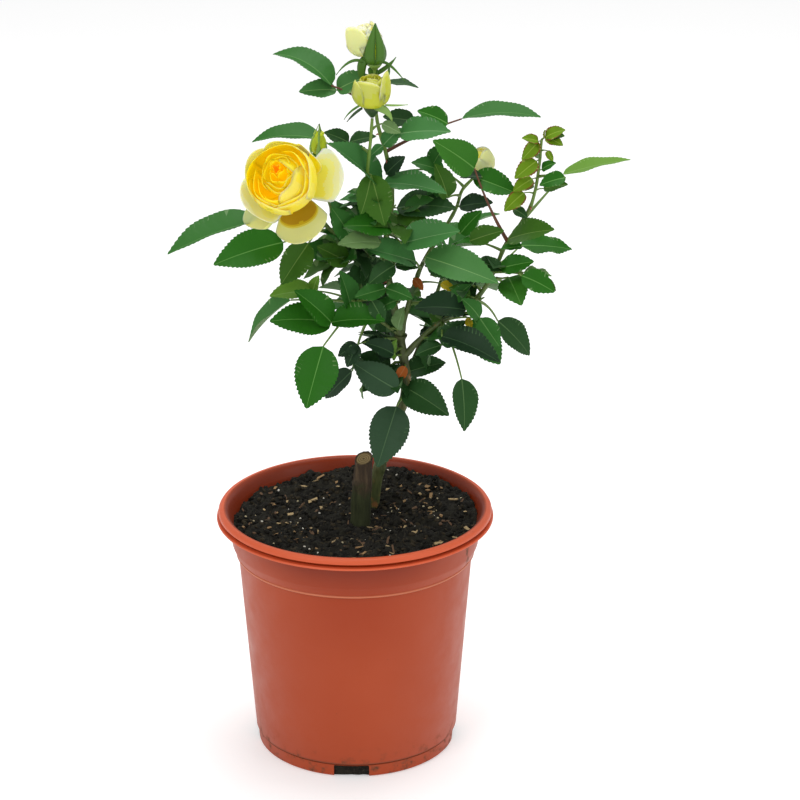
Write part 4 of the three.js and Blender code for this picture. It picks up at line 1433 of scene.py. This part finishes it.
YOUNG_SPRAYS = (
    ("young", (145, -8, 504), ((65, 17), (110, 15), (0, 7))),
    ("olive", (146, -8, 505), ((85, 14),)),
    ("young", (147, -8, 494), ((150, 9),)),
    ("young", (140, -7, 501), ((-135, 19), (-75, 14), (175, 9))),
    ("pale", (141, -8, 488), ((-60, 9),)),
    ("young", (139, -8, 486), ((-125, 22),)),
    ("fresh", (143, -4, 478), ((60, 13),)),
    ("young", (136, -8, 472), ((-120, 18),)),
    ("pale", (137, -8, 468), ((-105, 17),)),
    ("young", (130, -8, 461), ((-130, 21),)),
    ("deep", (122, -7, 448), ((120, 13),)),
    ("olive", (145, 0, 462), ((75, 20),)),
)
all_cane_points = [Vector(p) for name, line in lines.items() for p in line[::3]]


def nearest_limb(point, points):
    """The nearest place on a cane, counting places above the point as farther away."""
    return min(points, key=lambda p: (p - point).length + max(0, p.z - point.z) * 1.5)


def set_spray(batch, tint, hub, leaflets, points, thick, forward, rng, **shape):
    """Leaflets round one hub, each leaning forward a little, and the stalk that carries them."""
    hub = Vector(hub) * MM
    foot = nearest_limb(hub, points)
    bow = foot.lerp(hub, 0.5) + Vector((0, 0, 0.12 * (hub - foot).length))
    add_stalk([bezier(foot, bow, hub, k / 10) for k in range(11)], thick, thick * 0.75)
    for turn, length in leaflets:
        turn = math.radians(turn)
        along = Vector((math.sin(turn), -forward * rng.uniform(0.7, 1.3), math.cos(turn))).normalized()
        face = 28 + 45 * abs(math.cos(turn)) + rng.uniform(-8, 8)
        width = length * rng.uniform(0.6, 0.68)
        set_leaflet(batch, hub, along, upward_side(along, face), length * MM, width * MM, tint, rng, **shape)


for tint, hub, leaflets in SPRAYS:
    set_spray(front_leaves, tint, hub, leaflets, all_cane_points, 0.8 * MM, 0.15, leaf_rng)
young_cane_points = [Vector(p) for p in lines["young_cane"]]
for tint, hub, leaflets in YOUNG_SPRAYS:
    set_spray(young_leaves, tint, hub, leaflets, young_cane_points, 0.55 * MM, 0.3, leaf_rng,
              arch=leaf_rng.uniform(25, 75), wave=0.4, quilt=0.08)


def keep_leaves(batch, name, slot, *nodes):
    """Leaf pieces keep a crisp margin, where the upper side meets the underside."""
    piece = batch.piece(name, leaf_materials)
    smooth(piece, 60)
    return keep(piece, slot, *nodes)


keep_leaves(green_leaves, "green_leaves", "green_leaf", *LEAVES, *BACK_LEAVES)
keep_leaves(young_leaves, "young_leaves", "young_leaf", "leaf_young_top", "leaf_young_left", "leaf_young_mid")
keep_leaves(front_leaves, "front_leaves", "green_leaf")

# %% [markdown]
# ## The masses
# Inside a mass the leaves crowd each other, and only the mass's lumps and gaps matter. The rule that
# fills one is the plant's own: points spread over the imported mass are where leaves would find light;
# near ones share a twig, which leaves the nearest cane; and from the twig a compound leaf reaches for
# each point, its upper side turned outwards and up. A leaflet that would close one of the gaps that
# go right through the crown is left out.

# %% Fill the masses
MASSES = {
    "mass_centre": (14, ("mid", "blue", "fresh", "olive", "deep")),
    "mass_heart": (14, ("mid", "deep", "deep", "olive")),
    "mass_left": (10, ("mid", "olive", "fresh", "deep")),
    "mass_right": (10, ("mid", "olive", "fresh", "deep")),
    "mass_low_right": (7, ("deep", "deep", "mid")),
    "mass_low_left": (7, ("dark", "deep")),
    "mass_back_left": (13, ("mid", "deep", "fresh")),
    "mass_back_right": (13, ("mid", "deep", "fresh")),
}
# Each gap as seen from the front: right, up along the view, and half width, in millimetres. Another
# program worked them out.
GAPS = (
    (77, 467, 7), (71, 439, 5), (33, 456, 5), (55, 394, 6), (62, 383, 5), (37, 391, 3), (35, 370, 3),
    (44, 341, 8), (42, 329, 6), (76, 349, 3), (25, 419, 4), (50, 414, 4), (-1, 475, 6), (-7, 333, 4),
    (118, 408, 4), (138, 403, 5), (141, 376, 6), (121, 363, 5), (104, 409, 3), (102, 372, 3), (96, 363, 2),
)


def seen_from_front(point):
    """A place in the plane that faces the front view: right and up, in millimetres."""
    return Vector((point.x, point.z + point.y * math.tan(math.radians(CAMERA_TILT)))) / MM


def covers_gap(root, tip, width):
    """Whether a leaflet would close one of the gaps."""
    start, run = seen_from_front(root), seen_from_front(tip) - seen_from_front(root)
    for right, up, half in GAPS:
        gap = Vector((right, up))
        share = min(1, max(0, (gap - start).dot(run) / run.length_squared))
        if (start + run * share - gap).length < half + 0.28 * width / MM:
            return True
    return False


def spread_points(node, count):
    """Corners of a packed mass that lie far from each other."""
    corners = [v.co.copy() for v in solids[node].data.vertices]
    chosen = [max(corners, key=lambda c: c.z)]
    while len(chosen) < count:
        chosen.append(max(corners, key=lambda c: min((c - d).length for d in chosen)))
    return chosen


twigs = Batch()


def grow_mass(batch, node, count, tints, seed):
    rng = random.Random(seed)
    low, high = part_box(node)
    heart = (low + high) / 2
    targets = spread_points(node, count)
    while targets:
        first = targets.pop(0)
        family = [first] + sorted(targets, key=lambda t: (t - first).length)[:2]
        targets = [t for t in targets if t not in family]
        goal = sum(family, Vector()) / len(family)
        foot = min(all_cane_points, key=lambda p: (p - (heart * 0.5 + goal * 0.5)).length)
        end = foot.lerp(goal, 0.45)
        bow = foot.lerp(end, 0.5) + Vector((0, 0, 5 * MM))
        path = [bezier(foot, bow, end, k / 8) for k in range(9)]
        twigs.add(*tube(evenly(np.array([tuple(p) for p in path]), 3 * MM), [1.5 * MM, 1.1 * MM], 7))
        for number, target in enumerate(family):
            start = bezier(foot, bow, end, (0.55, 0.8, 1)[number % 3])
            outward = (target - heart).normalized()
            tip = target + outward * 3 * MM
            length = min(50, max(34, (tip - start).length / MM * 0.7)) * rng.uniform(0.9, 1.08)
            tilt = (outward * 0.8 + Vector((0, -0.25, 1.0))).normalized()
            leaf_to(batch, start, tip, tilt, length, rng.choice(tints), rng)


def leaf_to(batch, start, tip, tilt, length, tint, rng):
    """A compound leaf that reaches a point, its upper side turned along tilt."""
    middle = start.lerp(tip, 0.5) + Vector((0, 0, 0.12 * (tip - start).length))
    run = (tip - start).length * 1.03
    joint = max(0.2, 1 - length * MM / run)
    hub = bezier(start, middle, tip, joint)
    add_stalk([bezier(start, middle, tip, joint * k / 6) for k in range(7)], 0.8 * MM, 0.55 * MM, sides=5)
    leaflets = [(hub, (tip - hub).normalized(), length)]
    for pair in range(2 if run > 62 * MM else 1):
        place = joint * (0.88 - 0.36 * pair)
        root = bezier(start, middle, tip, place)
        forward = (bezier(start, middle, tip, place + 0.03) - root).normalized()
        across = tilt.cross(forward).normalized()
        for side in (-1, 1):
            out = (forward * 0.55 + across * 0.83 * side + tilt * rng.uniform(-0.15, 0.2)).normalized()
            leaflets.append((root, out, length * (0.86 - 0.14 * pair) * rng.uniform(0.9, 1.08)))
    for root, out, size in leaflets:
        wide = size * rng.uniform(0.58, 0.68) * MM
        if not covers_gap(root, root + out * size * MM, wide):
            set_leaflet(batch, root, out, tilt, size * MM, wide, tint, rng, light=True)


mass_leaves = Batch()
for seed, (node, (count, tints)) in enumerate(MASSES.items()):
    grow_mass(mass_leaves, node, count, tints, 400 + seed)
keep_leaves(mass_leaves, "mass_leaves", "shade_leaf", *MASSES)
green_stalk = plain("green stalk", (0.13, 0.22, 0.04), 0.5)
brown_stalk = plain("red-brown stalk", (0.13, 0.045, 0.02), 0.5)
keep(stalks.piece("leaf_stalks", [green_stalk, brown_stalk]), "green_bark")
keep(twigs.piece("mass_twigs", [green_stalk]), "green_bark")

# %% [markdown]
# ## Petals and sepals
# A petal is a thin cupped sheet: narrow where it leaves the hip, broad and round at its rim. In an old
# garden rose the petals wrap round each other into a globe, and only the outermost ones lie open. A
# petal is drawn by its profile, out from the flower's axis and up along it, and by how far it wraps
# round that axis. The sheet has an outer and an inner side that meet at its edge, so it is closed.

# %% Petal rules
# The first nine run from the deepest to the palest. The next three paint the globe's shadow on the
# hanging petal. The last six are for the younger flowers: the green yellow of the buds, and then a run
# from deep to pale again. Its olive tones are the second flower's yellow darkened by painted shade, and
# shaded cream is painted shade, also on the bloom's lowest petals.
PETAL_TONES = {
    "orange": (0.88, 0.34, 0.003),
    "deep gold": (0.88, 0.57, 0.002),
    "gold": (0.89, 0.64, 0.003),
    "warm yellow": (0.88, 0.69, 0.01),
    "yellow": (0.88, 0.7, 0.035),
    "soft yellow": (0.86, 0.73, 0.1),
    "pale yellow": (0.84, 0.78, 0.26),
    "cream": (0.8, 0.78, 0.42),
    "ivory": (0.8, 0.82, 0.6),
    "old gold": (0.26, 0.14, 0.001),
    "amber": (0.4, 0.28, 0.004),
    "dull gold": (0.5, 0.43, 0.06),
    "green yellow": (0.56, 0.66, 0.02),
    "olive yellow": (0.42, 0.43, 0.005),
    "olive cream": (0.5, 0.51, 0.035),
    "pale olive": (0.51, 0.52, 0.1),
    "shaded cream": (0.52, 0.53, 0.24),
    "green cream": (0.68, 0.71, 0.3),
}
TONE_ORDER = list(PETAL_TONES)
SHADE, YOUNG = TONE_ORDER.index("old gold"), TONE_ORDER.index("green yellow")
# Painted light: the petals' own glow, strongest on the heart's golds and the buds' green yellow.
PAINTED_GLOW = {"orange": 0.24, "deep gold": 0.24, "gold": 0.22, "warm yellow": 0.16, "green yellow": 0.14}


def petal_finish(tone):
    """Petals are thin enough for light to pass through, so they scatter it under their skin. A weak
    glow of their own is painted light: it stands for the light that comes through from behind, and it
    is strongest on the heart's deep golds and the buds' green yellow, where it lifts their shade."""
    color = PETAL_TONES[tone]
    material, shader = finish(f"{tone} petal", color, 0.55, 0.3)
    shader.inputs["Subsurface Weight"].default_value = 0.7
    shader.inputs["Subsurface Radius"].default_value = (1, 0.7, 0.25)
    shader.inputs["Subsurface Scale"].default_value = 0.005
    shader.inputs["Emission Color"].default_value = (*color, 1)
    shader.inputs["Emission Strength"].default_value = PAINTED_GLOW.get(tone, 0.06)
    return material


petal_materials = [petal_finish(tone) for tone in TONE_ORDER]
PETAL_THICKNESS = 0.5 * MM


def cubic(a, b, c, d, t):
    return [p * (1 - t) ** 3 + 3 * q * t * (1 - t) ** 2 + 3 * r * t * t * (1 - t) + s * t**3
            for p, q, r, s in zip(a, b, c, d)]


def sheet(batch, place, rows, columns, thick, tone):
    """A closed thin sheet. place gives a point for s (-1 to 1, across) and t (0 to 1, base to rim)."""
    across, along = np.linspace(-1, 1, columns), np.linspace(0, 1, rows)
    middle = np.array([[place(s, t) for s in across] for t in along])
    normal = np.cross(np.gradient(middle, axis=1), np.gradient(middle, axis=0))
    normal /= np.maximum(np.linalg.norm(normal, axis=2, keepdims=True), 1e-12)
    lift = normal * thick / 2
    lift[[0, -1]] = 0
    lift[:, [0, -1]] = 0
    outer_id = np.arange(rows * columns).reshape(rows, columns)
    inner_id = outer_id.copy()
    inside = outer_id[1:-1, 1:-1]
    inner_id[1:-1, 1:-1] = rows * columns + np.arange(inside.size).reshape(inside.shape)
    points = np.vstack([(middle + lift).reshape(-1, 3), (middle - lift)[1:-1, 1:-1].reshape(-1, 3)])
    faces, zones = [], []
    for r in range(rows - 1):
        for c in range(columns - 1):
            s, t = (across[c] + across[c + 1]) / 2, (along[r] + along[r + 1]) / 2
            for ids, outer in ((outer_id, True), (inner_id, False)):
                ring = [ids[r, c], ids[r, c + 1], ids[r + 1, c + 1], ids[r + 1, c]]
                faces.append(ring if outer else ring[::-1])
                zones.append(tone(s, t, outer))
    batch.add(points, faces, zones)


def seat_frame(cane, azimuth, rise, forward=0.0):
    """Where a flower sits on the end of its cane: a point, and its right, its back and its axis."""
    axis = heading(azimuth, rise)
    right = Vector((1, 0, 0))
    right = (right - axis * right.dot(axis)).normalized()
    return at_share(lines[cane], 1) + axis * forward * MM, right, axis.cross(right), axis


def petal(batch, seat, turn, profile, width, inner, outer, rng, wrap=1.0, droop=0.3, roll=0.0,
          ripple=0.6, blush=0.8, rim=8, rows=15, columns=13):
    """One petal: turn is its place round the axis in degrees, profile four (out, up) pairs in
    millimetres, inner and outer the tones of its two sides from base to rim."""
    origin, right, back, axis = seat
    turn = math.radians(turn)
    out_way = right * math.cos(turn) + back * math.sin(turn)
    side_way = back * math.cos(turn) - right * math.sin(turn)
    phase = rng.uniform(0, math.tau)
    half = width / 2

    def place(s, t):
        reach = t * (1 - droop * abs(s) ** 2.6)
        r, h = cubic(*profile, reach)
        broad = half * (0.28 + 0.72 * math.sin(min(1, reach * 1.25) * math.pi / 2))
        bow = max(r, 3) * wrap
        angle = s * broad / bow
        swing = roll * abs(s) ** 3 * t * t + ripple * math.sin(4.2 * s + phase) * t**3
        radial = r - bow + (bow + swing) * math.cos(angle)
        return origin + (out_way * radial + side_way * (bow + swing) * math.sin(angle) + axis * h) * MM

    def tone(s, t, outside):
        first, last = (TONE_ORDER.index(name) for name in (outer if outside else inner))
        # Painted shadow: the globe's shade on the base of the hanging petal.
        if first == SHADE:
            step = t + 0.06 * math.cos(3 * s) + 0.14 * s * s - 0.5
            return last if step > 0.09 else SHADE + sum(step > edge for edge in (0, 0.05))
        low, high = (0, SHADE - 1) if first < SHADE else (YOUNG, len(TONE_ORDER) - 1)
        value = first + (last - first) * max(t**1.4, abs(s) ** rim) + blush * abs(s) ** 4
        return int(min(max(round(value + 0.4 * math.sin(5 * s + phase)), low), high))

    sheet(batch, place, rows, columns, PETAL_THICKNESS, tone)


def ring_of_petals(batch, seat, turns, profile, width, inner, outer, rng, lean=0.0, **rest):
    """Petals round the axis; lean makes those at the back taller and those in front lower."""
    for turn in turns:
        grow = rng.uniform(0.95, 1.05)
        turn += rng.uniform(-6, 6)
        tall = rng.uniform(0.97, 1.03) * (1 + lean * math.sin(math.radians(turn)))
        shaped = [(r * grow, h * tall) for r, h in profile]
        petal(batch, seat, turn, shaped, width * grow, inner, outer, rng, **rest)


def all_round(count, first):
    return [first + 360 * k / count for k in range(count)]


def in_seat(seat, right, back, up):
    """A point in a flower's own frame, in millimetres."""
    return seat[0] + (seat[1] * right + seat[2] * back + seat[3] * up) * MM


def moved(seat, right, back, up):
    """The same seat, its point moved in its own frame, in millimetres."""
    return in_seat(seat, right, back, up), *seat[1:]


def cup(radius, tall, foot):
    """The profile of a petal that swells and then closes in to radius at its rim."""
    widest = foot + (tall - foot) * 0.65
    return (radius * 0.12, foot), (radius * 1.05, foot), (radius * 1.2, widest), (radius, tall)


# %% [markdown]
# The full bloom looks towards the front and up. Its globe is one full ring of petals with further
# petals nested inside it in front and at the right. The heart lies off the middle, up and to the left,
# deep gold and close packed, and two broad petals fold over it. Outer petals lie open behind the
# globe; the lowest hangs, and the globe's shadow on it is painted shade.

# %% The full bloom
bloom_rng = random.Random(5)
bloom_petals = Batch()
bloom_seat = seat_frame("bloom_cane", -106, 32, forward=7)
bloom_seat = (bloom_seat[0] + Vector((-5, 0, 6)) * MM, *bloom_seat[1:])
RING_RISE = 0.8
SHADED_CREAM = ("shaded cream", "shaded cream")
PALE_CREAM = ("pale yellow", "cream")
IVORY = ("cream", "ivory")
# turns, reach of the rim, height, breadth, where its middle lies (right, back), inner and outer tones
BLOOM_RINGS = (
    (all_round(5, 14), 23.5, 30, 50, (0, 0), ("deep gold", "gold"), ("warm yellow", "soft yellow")),
    ((-155, -107, -59, -11, 37), 20.3, 29.5, 36, (0, 0), ("deep gold", "gold"), ("gold", "yellow")),
    ((-140, -90, -40), 17.5, 29, 32, (0, 0), ("deep gold", "gold"), ("gold", "warm yellow")),
    (all_round(5, 30), 13.5, 28.5, 24, (-1, 4), ("gold", "warm yellow"), ("gold", "yellow")),
    (all_round(4, 64), 10.5, 28.5, 19, (-2, 5), ("gold", "warm yellow"), ("gold", "yellow")),
    (all_round(4, 30), 7.6, 28, 14, (-2, 6), ("deep gold", "gold"), ("gold", "warm yellow")),
    (all_round(3, 90), 4.8, 27.5, 10, (-4, 8), ("deep gold", "gold"), ("gold", "gold")),
    (all_round(3, 40), 2.6, 27, 6, (-4, 8.5), ("orange", "orange"), ("orange", "deep gold")),
)
for number, (turns, reach, tall, width, (right, back), inner, outer) in enumerate(BLOOM_RINGS):
    seat, profile = moved(bloom_seat, right, back, 0), cup(reach, tall, number * RING_RISE)
    ring_of_petals(bloom_petals, seat, turns, profile, width, inner, outer, bloom_rng,
                   lean=0.1, droop=0.1, ripple=0.9, blush=0.2)
petal(bloom_petals, bloom_seat, -33, ((4, 0), (22, 2), (25, 27), (10, 31)), 44, ("gold", "yellow"),
      ("yellow", "soft yellow"), bloom_rng, droop=0.3, blush=0)
petal(bloom_petals, moved(bloom_seat, 0, 3, 0), 48, ((3, 2), (16, 3), (18, 25), (7.5, 31)), 25,
      ("gold", "yellow"), ("gold", "yellow"), bloom_rng, droop=0.25)
# turn, profile, breadth, inner and outer tones, how flat it lies, roll of its sides, and how narrow
# the band is in which its sides turn to the rim's tone
OUTER_PETALS = (
    (13, ((4, -1), (27, -5), (36, 5), (45, 15)), 45, ("yellow", "ivory"), ("cream", "cream"), 1.6, 1.5, 4),
    # Painted shade: the hanging petal and the low petal beside it.
    (-74, ((4, -1), (25, -6), (36, -4), (44, 1)), 46, ("old gold", "shaded cream"), SHADED_CREAM, 2.2, -2, 8),
    (-141, ((4, -1), (26, -5), (34, 1), (43, 4)), 26, SHADED_CREAM, SHADED_CREAM, 1.6, 1, 8),
    (204, ((4, -1), (27, -4), (31, 8), (34, 24)), 50, ("soft yellow", "ivory"), IVORY, 1.15, 1, 3),
    (145, ((4, -1), (27, -4), (31, 12), (30, 29)), 40, ("yellow", "cream"), PALE_CREAM, 1.1, 0, 5),
    (92, ((4, -1), (27, -4), (31, 13), (28, 31)), 40, ("yellow", "pale yellow"), PALE_CREAM, 1.1, 0, 5),
    (52, ((4, -1), (27, -4), (31, 9), (29, 25)), 30, ("gold", "soft yellow"), ("yellow", "cream"), 1.1, 0, 5),
)
for turn, profile, width, inner, outer, wrap, roll, rim in OUTER_PETALS:
    petal(bloom_petals, bloom_seat, turn, profile, width, inner, outer, bloom_rng,
          wrap=wrap, roll=roll, rim=rim, ripple=0.7, droop=0.38, rows=27, columns=23)
keep(bloom_petals.piece("bloom_petals", petal_materials), "gold_petal", "bloom")

# %% [markdown]
# The other flowers are younger: cups of paler petals, still half closed, each with its own lean. Their
# outer petals are greener, as they were the bud's skin, and on the second flower the olive tones are
# also painted shade.

# %% The younger flowers
pale_petals = Batch()
young_rng = random.Random(9)


def young_flower(seat, tall, wide, heart, inner, outer, lobes):
    """A half-open cup, tall and wide in millimetres: the tones of its heart and of its lobes, and the
    turn, height, reach and breadth of each lobe."""
    for ring, (count, share) in enumerate(((3, 0.3), (3, 0.55), (4, 0.78))):
        r, h = wide / 2 * share, tall * (0.98 - 0.02 * ring)
        profile = ((1, 0.5), (r * 1.3, 0), (r * 1.25, h * 0.6), (r * 0.72, h))
        turns = all_round(count, 40 * ring)
        ring_of_petals(pale_petals, seat, turns, profile, r * 2.4, heart, heart, young_rng)
    r = wide / 2
    for turn, high, reach, broad in lobes:
        profile = ((2, 0), (r * 1.25, -0.5), (r * 1.22, high * 0.5), (r * reach, high))
        petal(pale_petals, seat, turn, profile, wide * broad, inner, outer, young_rng,
              wrap=1.05, droop=0.36, roll=0.5)


second_seat = seat_frame("second_cane", -100, 84, forward=10)
top_seat = seat_frame("bud_cane", 172, 76, forward=12)
hidden_seat = moved(seat_frame("hidden_cane", 150, 78, forward=4), 5, 0, -3)
OLIVE_CREAM = ("olive cream", "olive cream")
SOFT_CREAM = ("soft yellow", "cream")
GREEN_CREAM = ("green cream", "green cream")
# turn, height, reach and breadth of each lobe
SECOND_LOBES = ((200, 22, 0.95, 1), (90, 22, 0.7, 1.1), (-14, 28, 0.9, 1.1), (-112, 23, 0.9, 1.4))
TOP_LOBES = ((224, 25, 0.85, 1.25), (-60, 17, 0.8, 1), (10, 24, 0.7, 1), (70, 22, 0.8, 1), (130, 21, 0.9, 1))
HIDDEN_LOBES = ((200, 19, 1, 1), (-40, 20, 0.9, 1), (-100, 15, 1, 1), (60, 20, 0.8, 1), (130, 20, 0.8, 1))
# The second flower's olive tones are partly painted shade.
young_flower(second_seat, 24, 26, OLIVE_CREAM, OLIVE_CREAM, ("olive yellow", "pale olive"), SECOND_LOBES)
young_flower(top_seat, 23, 24, SOFT_CREAM, SOFT_CREAM, GREEN_CREAM, TOP_LOBES)
young_flower(hidden_seat, 21, 23, ("yellow", "soft yellow"), SOFT_CREAM, GREEN_CREAM, HIDDEN_LOBES)

# %% [markdown]
# Under every flower sits its hip, a small green goblet, from which the sepals grow. They close over a
# bud with their tips drawn out above it, and bend outwards and down once it opens. The long ones that
# show beside the top and the second flower are placed one by one.

# %% Buds, hips and sepals
sepals = Batch()
SEPAL_TONES = {
    "green": (0.06, 0.17, 0.014),
    "light": (0.22, 0.38, 0.08),
    "dark": (0.02, 0.06, 0.012),
    "bud": (0.05, 0.15, 0.006),
}
sepal_materials = [plain(f"{tone} sepal", color, 0.5, 0.4) for tone, color in SEPAL_TONES.items()]
SEPAL_THICKNESS = 0.6 * MM


def sepal(path, width, tone="green", facing=Vector((0, -1, 0.3)), cup=0.25):
    """A pointed blade through four points, broadest near its base."""
    tone_number = list(SEPAL_TONES).index(tone)

    def place(s, t):
        point = Vector(cubic(*path, t))
        ahead = Vector(cubic(*path, min(1, t + 0.02))) - Vector(cubic(*path, max(0, t - 0.02)))
        side = ahead.cross(facing).normalized()
        half = width / 2 * MM * (t + 0.12) ** 0.45 * (1 - t) ** 0.85 * 1.55
        hollow = facing.normalized() * cup * half * (s * s)
        return point + side * s * max(half, 0.3 * MM) + hollow

    sheet(sepals, place, 10, 5, SEPAL_THICKNESS, lambda s, t, outer: tone_number)


def goblet(seat, radii, tall, tone="green"):
    """A hip: a round swelling under the petals, from its radii and its height."""
    line = np.array([tuple(in_seat(seat, 0, 0, -tall + tall * k / 8)) for k in range(9)])
    sepals.add(*tube(line, [r * MM for r in radii], 10), list(SEPAL_TONES).index(tone))


def closed_sepals(seat, radius, tall, tip, width, first_turn, tone):
    """Five sepals that close over a bud and run out into tips above it."""
    for k in range(5):
        turn = math.radians(first_turn + 72 * k)
        out = Vector((math.cos(turn), math.sin(turn)))
        reach = tip * (1.0 if k % 2 == 0 else 0.8)
        profile = ((0.5, -1), (1.8, tall * 0.3), (0.85, tall * 1.2), (0.05, reach))
        path = [in_seat(seat, out.x * (radius * r), out.y * (radius * r), h) for r, h in profile]
        sepal(path, width, tone, facing=seat[1] * out.x + seat[2] * out.y, cup=-0.3)


def open_sepals(seat, count, first_turn, reach, width, sink):
    """Sepals that have bent outwards and down under an open flower."""
    for k in range(count):
        turn = math.radians(first_turn + 360 * k / count)
        out = Vector((math.cos(turn), math.sin(turn)))
        profile = ((2.5, -0.5), (reach * 0.4, 1), (reach * 0.75, -sink * 0.3), (reach, -sink))
        path = [in_seat(seat, out.x * r, out.y * r, h) for r, h in profile]
        sepal(path, width, facing=seat[3], cup=0.2)


def bud_core(seat, radius, tall, tones):
    """The rolled petals of a closed bud."""
    for k in range(4):
        rim_height = tall * (0.9 + 0.03 * k)
        profile = ((radius * 0.3, 0), (radius * 1.3, tall * 0.1), (radius, tall * 0.75), (0.4, rim_height))
        petal(pale_petals, seat, 95 * k, profile, radius * 3.4, tones, tones, young_rng,
              droop=0.15, ripple=0.2)


goblet(bloom_seat, (2, 4.5, 5.5, 4.5), 8)
open_sepals(bloom_seat, 5, 20, 22, 7, sink=16)
goblet(second_seat, (1.5, 4, 6, 7), 9, "dark")
goblet(top_seat, (1.5, 4.5, 6, 5.5), 9)
goblet(hidden_seat, (1.5, 3.5, 4.5, 4), 6)

small_seat = seat_frame("small_bud_cane", -60, 84, forward=3)
goblet(small_seat, (1.2, 3, 4.5, 4), 4)
bud_core(small_seat, 6.8, 18, ("green yellow", "green yellow"))
closed_sepals(small_seat, 6, 9, 24, 4.6, first_turn=-86, tone="light")

cane_end = seat_frame("bud_cane", -90, 88)
front_bud_seat = (in_seat(cane_end, 2, -9, 8), *seat_frame("bud_cane", -80, 84)[1:])
goblet(front_bud_seat, (1, 1.2, 4.5, 6), 8, "light")
bud_core(front_bud_seat, 6.8, 15, ("green yellow", "green yellow"))
closed_sepals(front_bud_seat, 7.6, 14, 31, 13, first_turn=-50, tone="bud")

# The long sepals, each by its flower: its four (right, up) places, its breadth and its tone.
LONG_SEPALS = (
    (cane_end, ((-6, 8), (-13, 12), (-20, 8), (-27, -2)), 3, "green"),
    (cane_end, ((-5, 11), (-9.5, 5), (-8, -2), (-6, -10)), 9, "green"),
    (cane_end, ((-1, 5), (2.5, 1), (1, -5), (-4, -9)), 10, "green"),
    (cane_end, ((3, -1), (9, 2.5), (14, 6), (18, 12)), 4.5, "green"),
    (cane_end, ((4, -8), (9, -7), (13, -1), (13, 5)), 6, "green"),
    (cane_end, ((6, 8), (11, 9.5), (17, 3), (25, -7)), 3, "green"),
    (cane_end, ((5, 13), (6.5, 19), (7.5, 26), (4.5, 33)), 1.6, "light"),
    (second_seat, ((-7, 4), (-14, 0.5), (-18, -3), (-21, -8)), 2.2, "green"),
    (second_seat, ((-7, 1), (-12, -2), (-16, -6), (-19, -10)), 2.8, "dark"),
    (second_seat, ((10, 3), (16, 2.5), (21, 2.5), (27, 3)), 2.2, "light"),
    (second_seat, ((2, 2), (8, 1), (13, -2), (15, -10)), 8, "light"),
)
for seat, places, width, tone in LONG_SEPALS:
    sepal([in_seat(seat, right, -7, up) for right, up in places], width, tone)
pale_piece = pale_petals.piece("pale_petals", petal_materials)
keep(pale_piece, "cream_petal", "top_flower", "second_flower", "hidden_flower")
keep(sepals.piece("hips_and_sepals", sepal_materials), "green_sepal", "small_bud")
